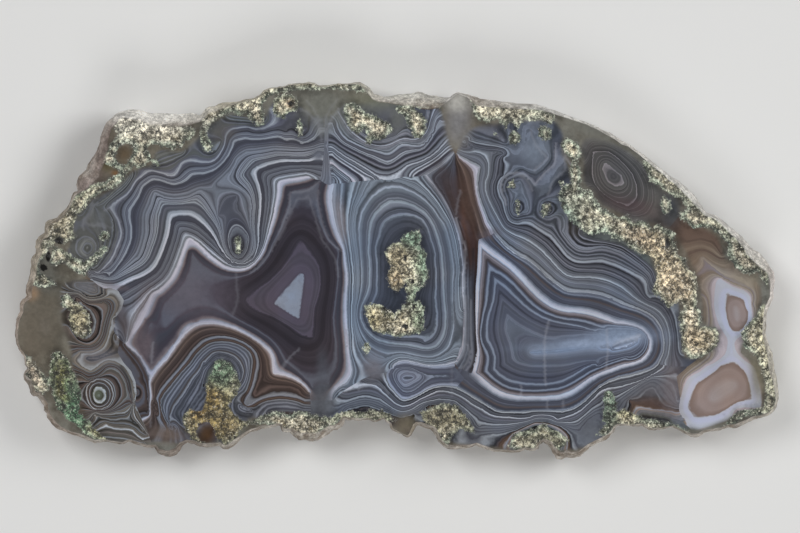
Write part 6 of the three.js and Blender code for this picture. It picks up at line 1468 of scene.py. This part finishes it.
# painted shade: near-black in the clefts between the grains
cleft_shade = smooth(noise(mm, 0.8, 6.0, 0.78), 0.40, 0.47, 1.0, 0.0)
body = mix(body, lin((30, 29, 23)), calc("MULTIPLY", cleft_shade, 0.82))
# painted highlights: near-white glints on the lightest grains
grain_glint = calc("MULTIPLY", smooth(noise(mm, 3.2, 2.0), 0.56, 0.66), smooth(shade, 0.3, 0.8))
body = mix(body, lin((244, 240, 224)), calc("MULTIPLY", grain_glint, smooth(mp.outputs["Alpha"], 0.5, 0.9, 0.85, 0.45)))
# painted shade: the face is darkened in a soft ring just outside the mossy growths
moss_edge_shade = calc("MULTIPLY", smooth(md, -9.0, -0.3), smooth(noise(mm, 0.5, 2.0), 0.35, 0.65, 0.15, 0.75))
color = mix(color, gain(color, 0.45), moss_edge_shade)
color = mix(color, body, mask)
# painted shade: the holes are filled with near-black
color = mix(color, lin((18, 16, 14)), smooth(calc("ADD", attr("hole"), calc("MULTIPLY", edge_noise, 1.6)), 0.35, 0.6))

# the rough natural wall
rind_n = noise(mm, 0.5, 6.0, 0.65)
rind = mix(lin((128, 114, 98)), lin((212, 204, 194)), smooth(rind_n, 0.35, 0.65))
rp = new("ShaderNodeAttribute", attribute_name="rim_patch")
rind = mix(rind, gain(rp.outputs["Color"], smooth(rind_n, 0.32, 0.68, 0.66, 1.3)), rp.outputs["Alpha"])
# the same painted grain shade on the rough wall
rind = gain(rind, smooth(shade, 0.15, 0.95, 0.66, 1.22))
rind = mix(rind, lin((88, 72, 54)), calc("MULTIPLY", smooth(noise(mm, 0.23, 4.0), 0.55, 0.7, 0.0, 0.6), calc("SUBTRACT", 1.0, rp.outputs["Alpha"])))
color = mix(color, rind, calc("MULTIPLY", wall_f, 0.9))
geo = new("ShaderNodeNewGeometry")
sep = new("ShaderNodeSeparateXYZ")
put(sep.inputs[0], geo.outputs["Normal"])
under = calc("LESS_THAN", sep.outputs["Z"], -0.9)
sawn = gain(mix(lin((96, 96, 104)), lin((132, 130, 134)), cloud), smooth(noise(mm, 0.35, 5.0), 0.3, 0.7, 0.8, 1.15))
color = mix(color, sawn, calc("MULTIPLY", under, smooth(wall_f, 0.5, 1.0)))

rough_v = calc("ADD", 0.13, calc("MULTIPLY", speck, 0.05))
rough_v = calc("ADD", rough_v, calc("MULTIPLY", mask, 0.22))
rough_v = mix_v = calc("MAXIMUM", rough_v, calc("MULTIPLY", wall_f, calc("ADD", 0.5, calc("MULTIPLY", rind_n, 0.3))))

height = calc("MULTIPLY", mask, calc("ADD", calc("MULTIPLY", shade, 0.6), calc("MULTIPLY", mot, 0.7)))
height = calc("ADD", height, calc("MULTIPLY", wall_f, calc("ADD", calc("MULTIPLY", rind_n, 1.6), calc("MULTIPLY", g2, 0.4))))
bump_n = new("ShaderNodeBump")
bump_n.inputs["Strength"].default_value = 0.5
bump_n.inputs["Distance"].default_value = 0.00012
put(bump_n.inputs["Height"], height)

shader = new("ShaderNodeBsdfPrincipled")
put(shader.inputs["Base Color"], color)
put(shader.inputs["Roughness"], rough_v)
put(shader.inputs["Normal"], bump_n.outputs["Normal"])
shader.inputs["IOR"].default_value = 1.54
shader.inputs["Metallic"].default_value = 0.0
out = new("ShaderNodeOutputMaterial")
tree.links.new(shader.outputs[0], out.inputs["Surface"])
mesh.materials.append(mat)

# ---------------------------------------------------------------- the studio
floor_mesh = bpy.data.meshes.new("floor")
floor_mesh.from_pydata([(-2, -2, 0), (2, -2, 0), (2, 2, 0), (-2, 2, 0)], [], [(0, 1, 2, 3)])
floor = bpy.data.objects.new("floor", floor_mesh)
floor.location.z = -0.0001
bpy.context.scene.collection.objects.link(floor)
paper = bpy.data.materials.new("paper")
paper.use_nodes = True
pb = paper.node_tree.nodes["Principled BSDF"]
pb.inputs["Base Color"].default_value = (0.8, 0.8, 0.79, 1)
pb.inputs["Roughness"].default_value = 0.9
floor_mesh.materials.append(paper)


def softbox(name, where, size, power):
    light_data = bpy.data.lights.new(name, "AREA")
    light_data.shape = "RECTANGLE"
    light_data.size, light_data.size_y = size
    light_data.energy = power
    o = bpy.data.objects.new(name, light_data)
    o.location = where
    o.rotation_euler = (Vector(where) * -1).to_track_quat("-Z", "Y").to_euler()
    bpy.context.scene.collection.objects.link(o)
    return o


softbox("left_box", (-0.56, 0.41, 1.0), (0.6, 0.6), LIGHT)
softbox("right_box", (0.85, 0.25, 0.7), (0.6, 0.6), LIGHT)
softbox("front_box", (0.1, -0.95, 0.7), (0.8, 0.4), LIGHT * 0.8)

world = bpy.data.worlds.new("studio")
bpy.context.scene.world = world
world.use_nodes = True
bg = world.node_tree.nodes["Background"]
bg.inputs["Color"].default_value = (1, 1, 1, 1)
bg.inputs["Strength"].default_value = 0.16

cam_data = bpy.data.cameras.new("above")
cam_data.sensor_width = 36.0
cam_data.lens = 36.0 * 1.491 / 0.136
cam_data.clip_start, cam_data.clip_end = 0.05, 10.0
cam = bpy.data.objects.new("above", cam_data)
cam.location = (0.0005, 0.000635, 1.5)
cam.rotation_euler = (0.0, 0.0, 0.0)
bpy.context.scene.collection.objects.link(cam)
bpy.context.scene.camera = cam
bpy.context.scene.view_settings.view_transform = "Standard"
bpy.context.scene.view_settings.look = "None"
bpy.context.scene.view_settings.exposure = 0.0
bpy.context.scene.view_settings.gamma = 1.0

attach(stone, "root")
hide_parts("agate_slice")
floor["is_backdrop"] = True


def plain(v):
    if isinstance(v, dict):
        return {str(k): plain(x) for k, x in v.items()}
    if isinstance(v, (list, tuple, Vector, np.ndarray)):
        return [plain(x) for x in v]
    return v if isinstance(v, (str, bool)) or v is None else float(v)


{"before": plain(SIZE_BEFORE), "after": plain(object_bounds())}
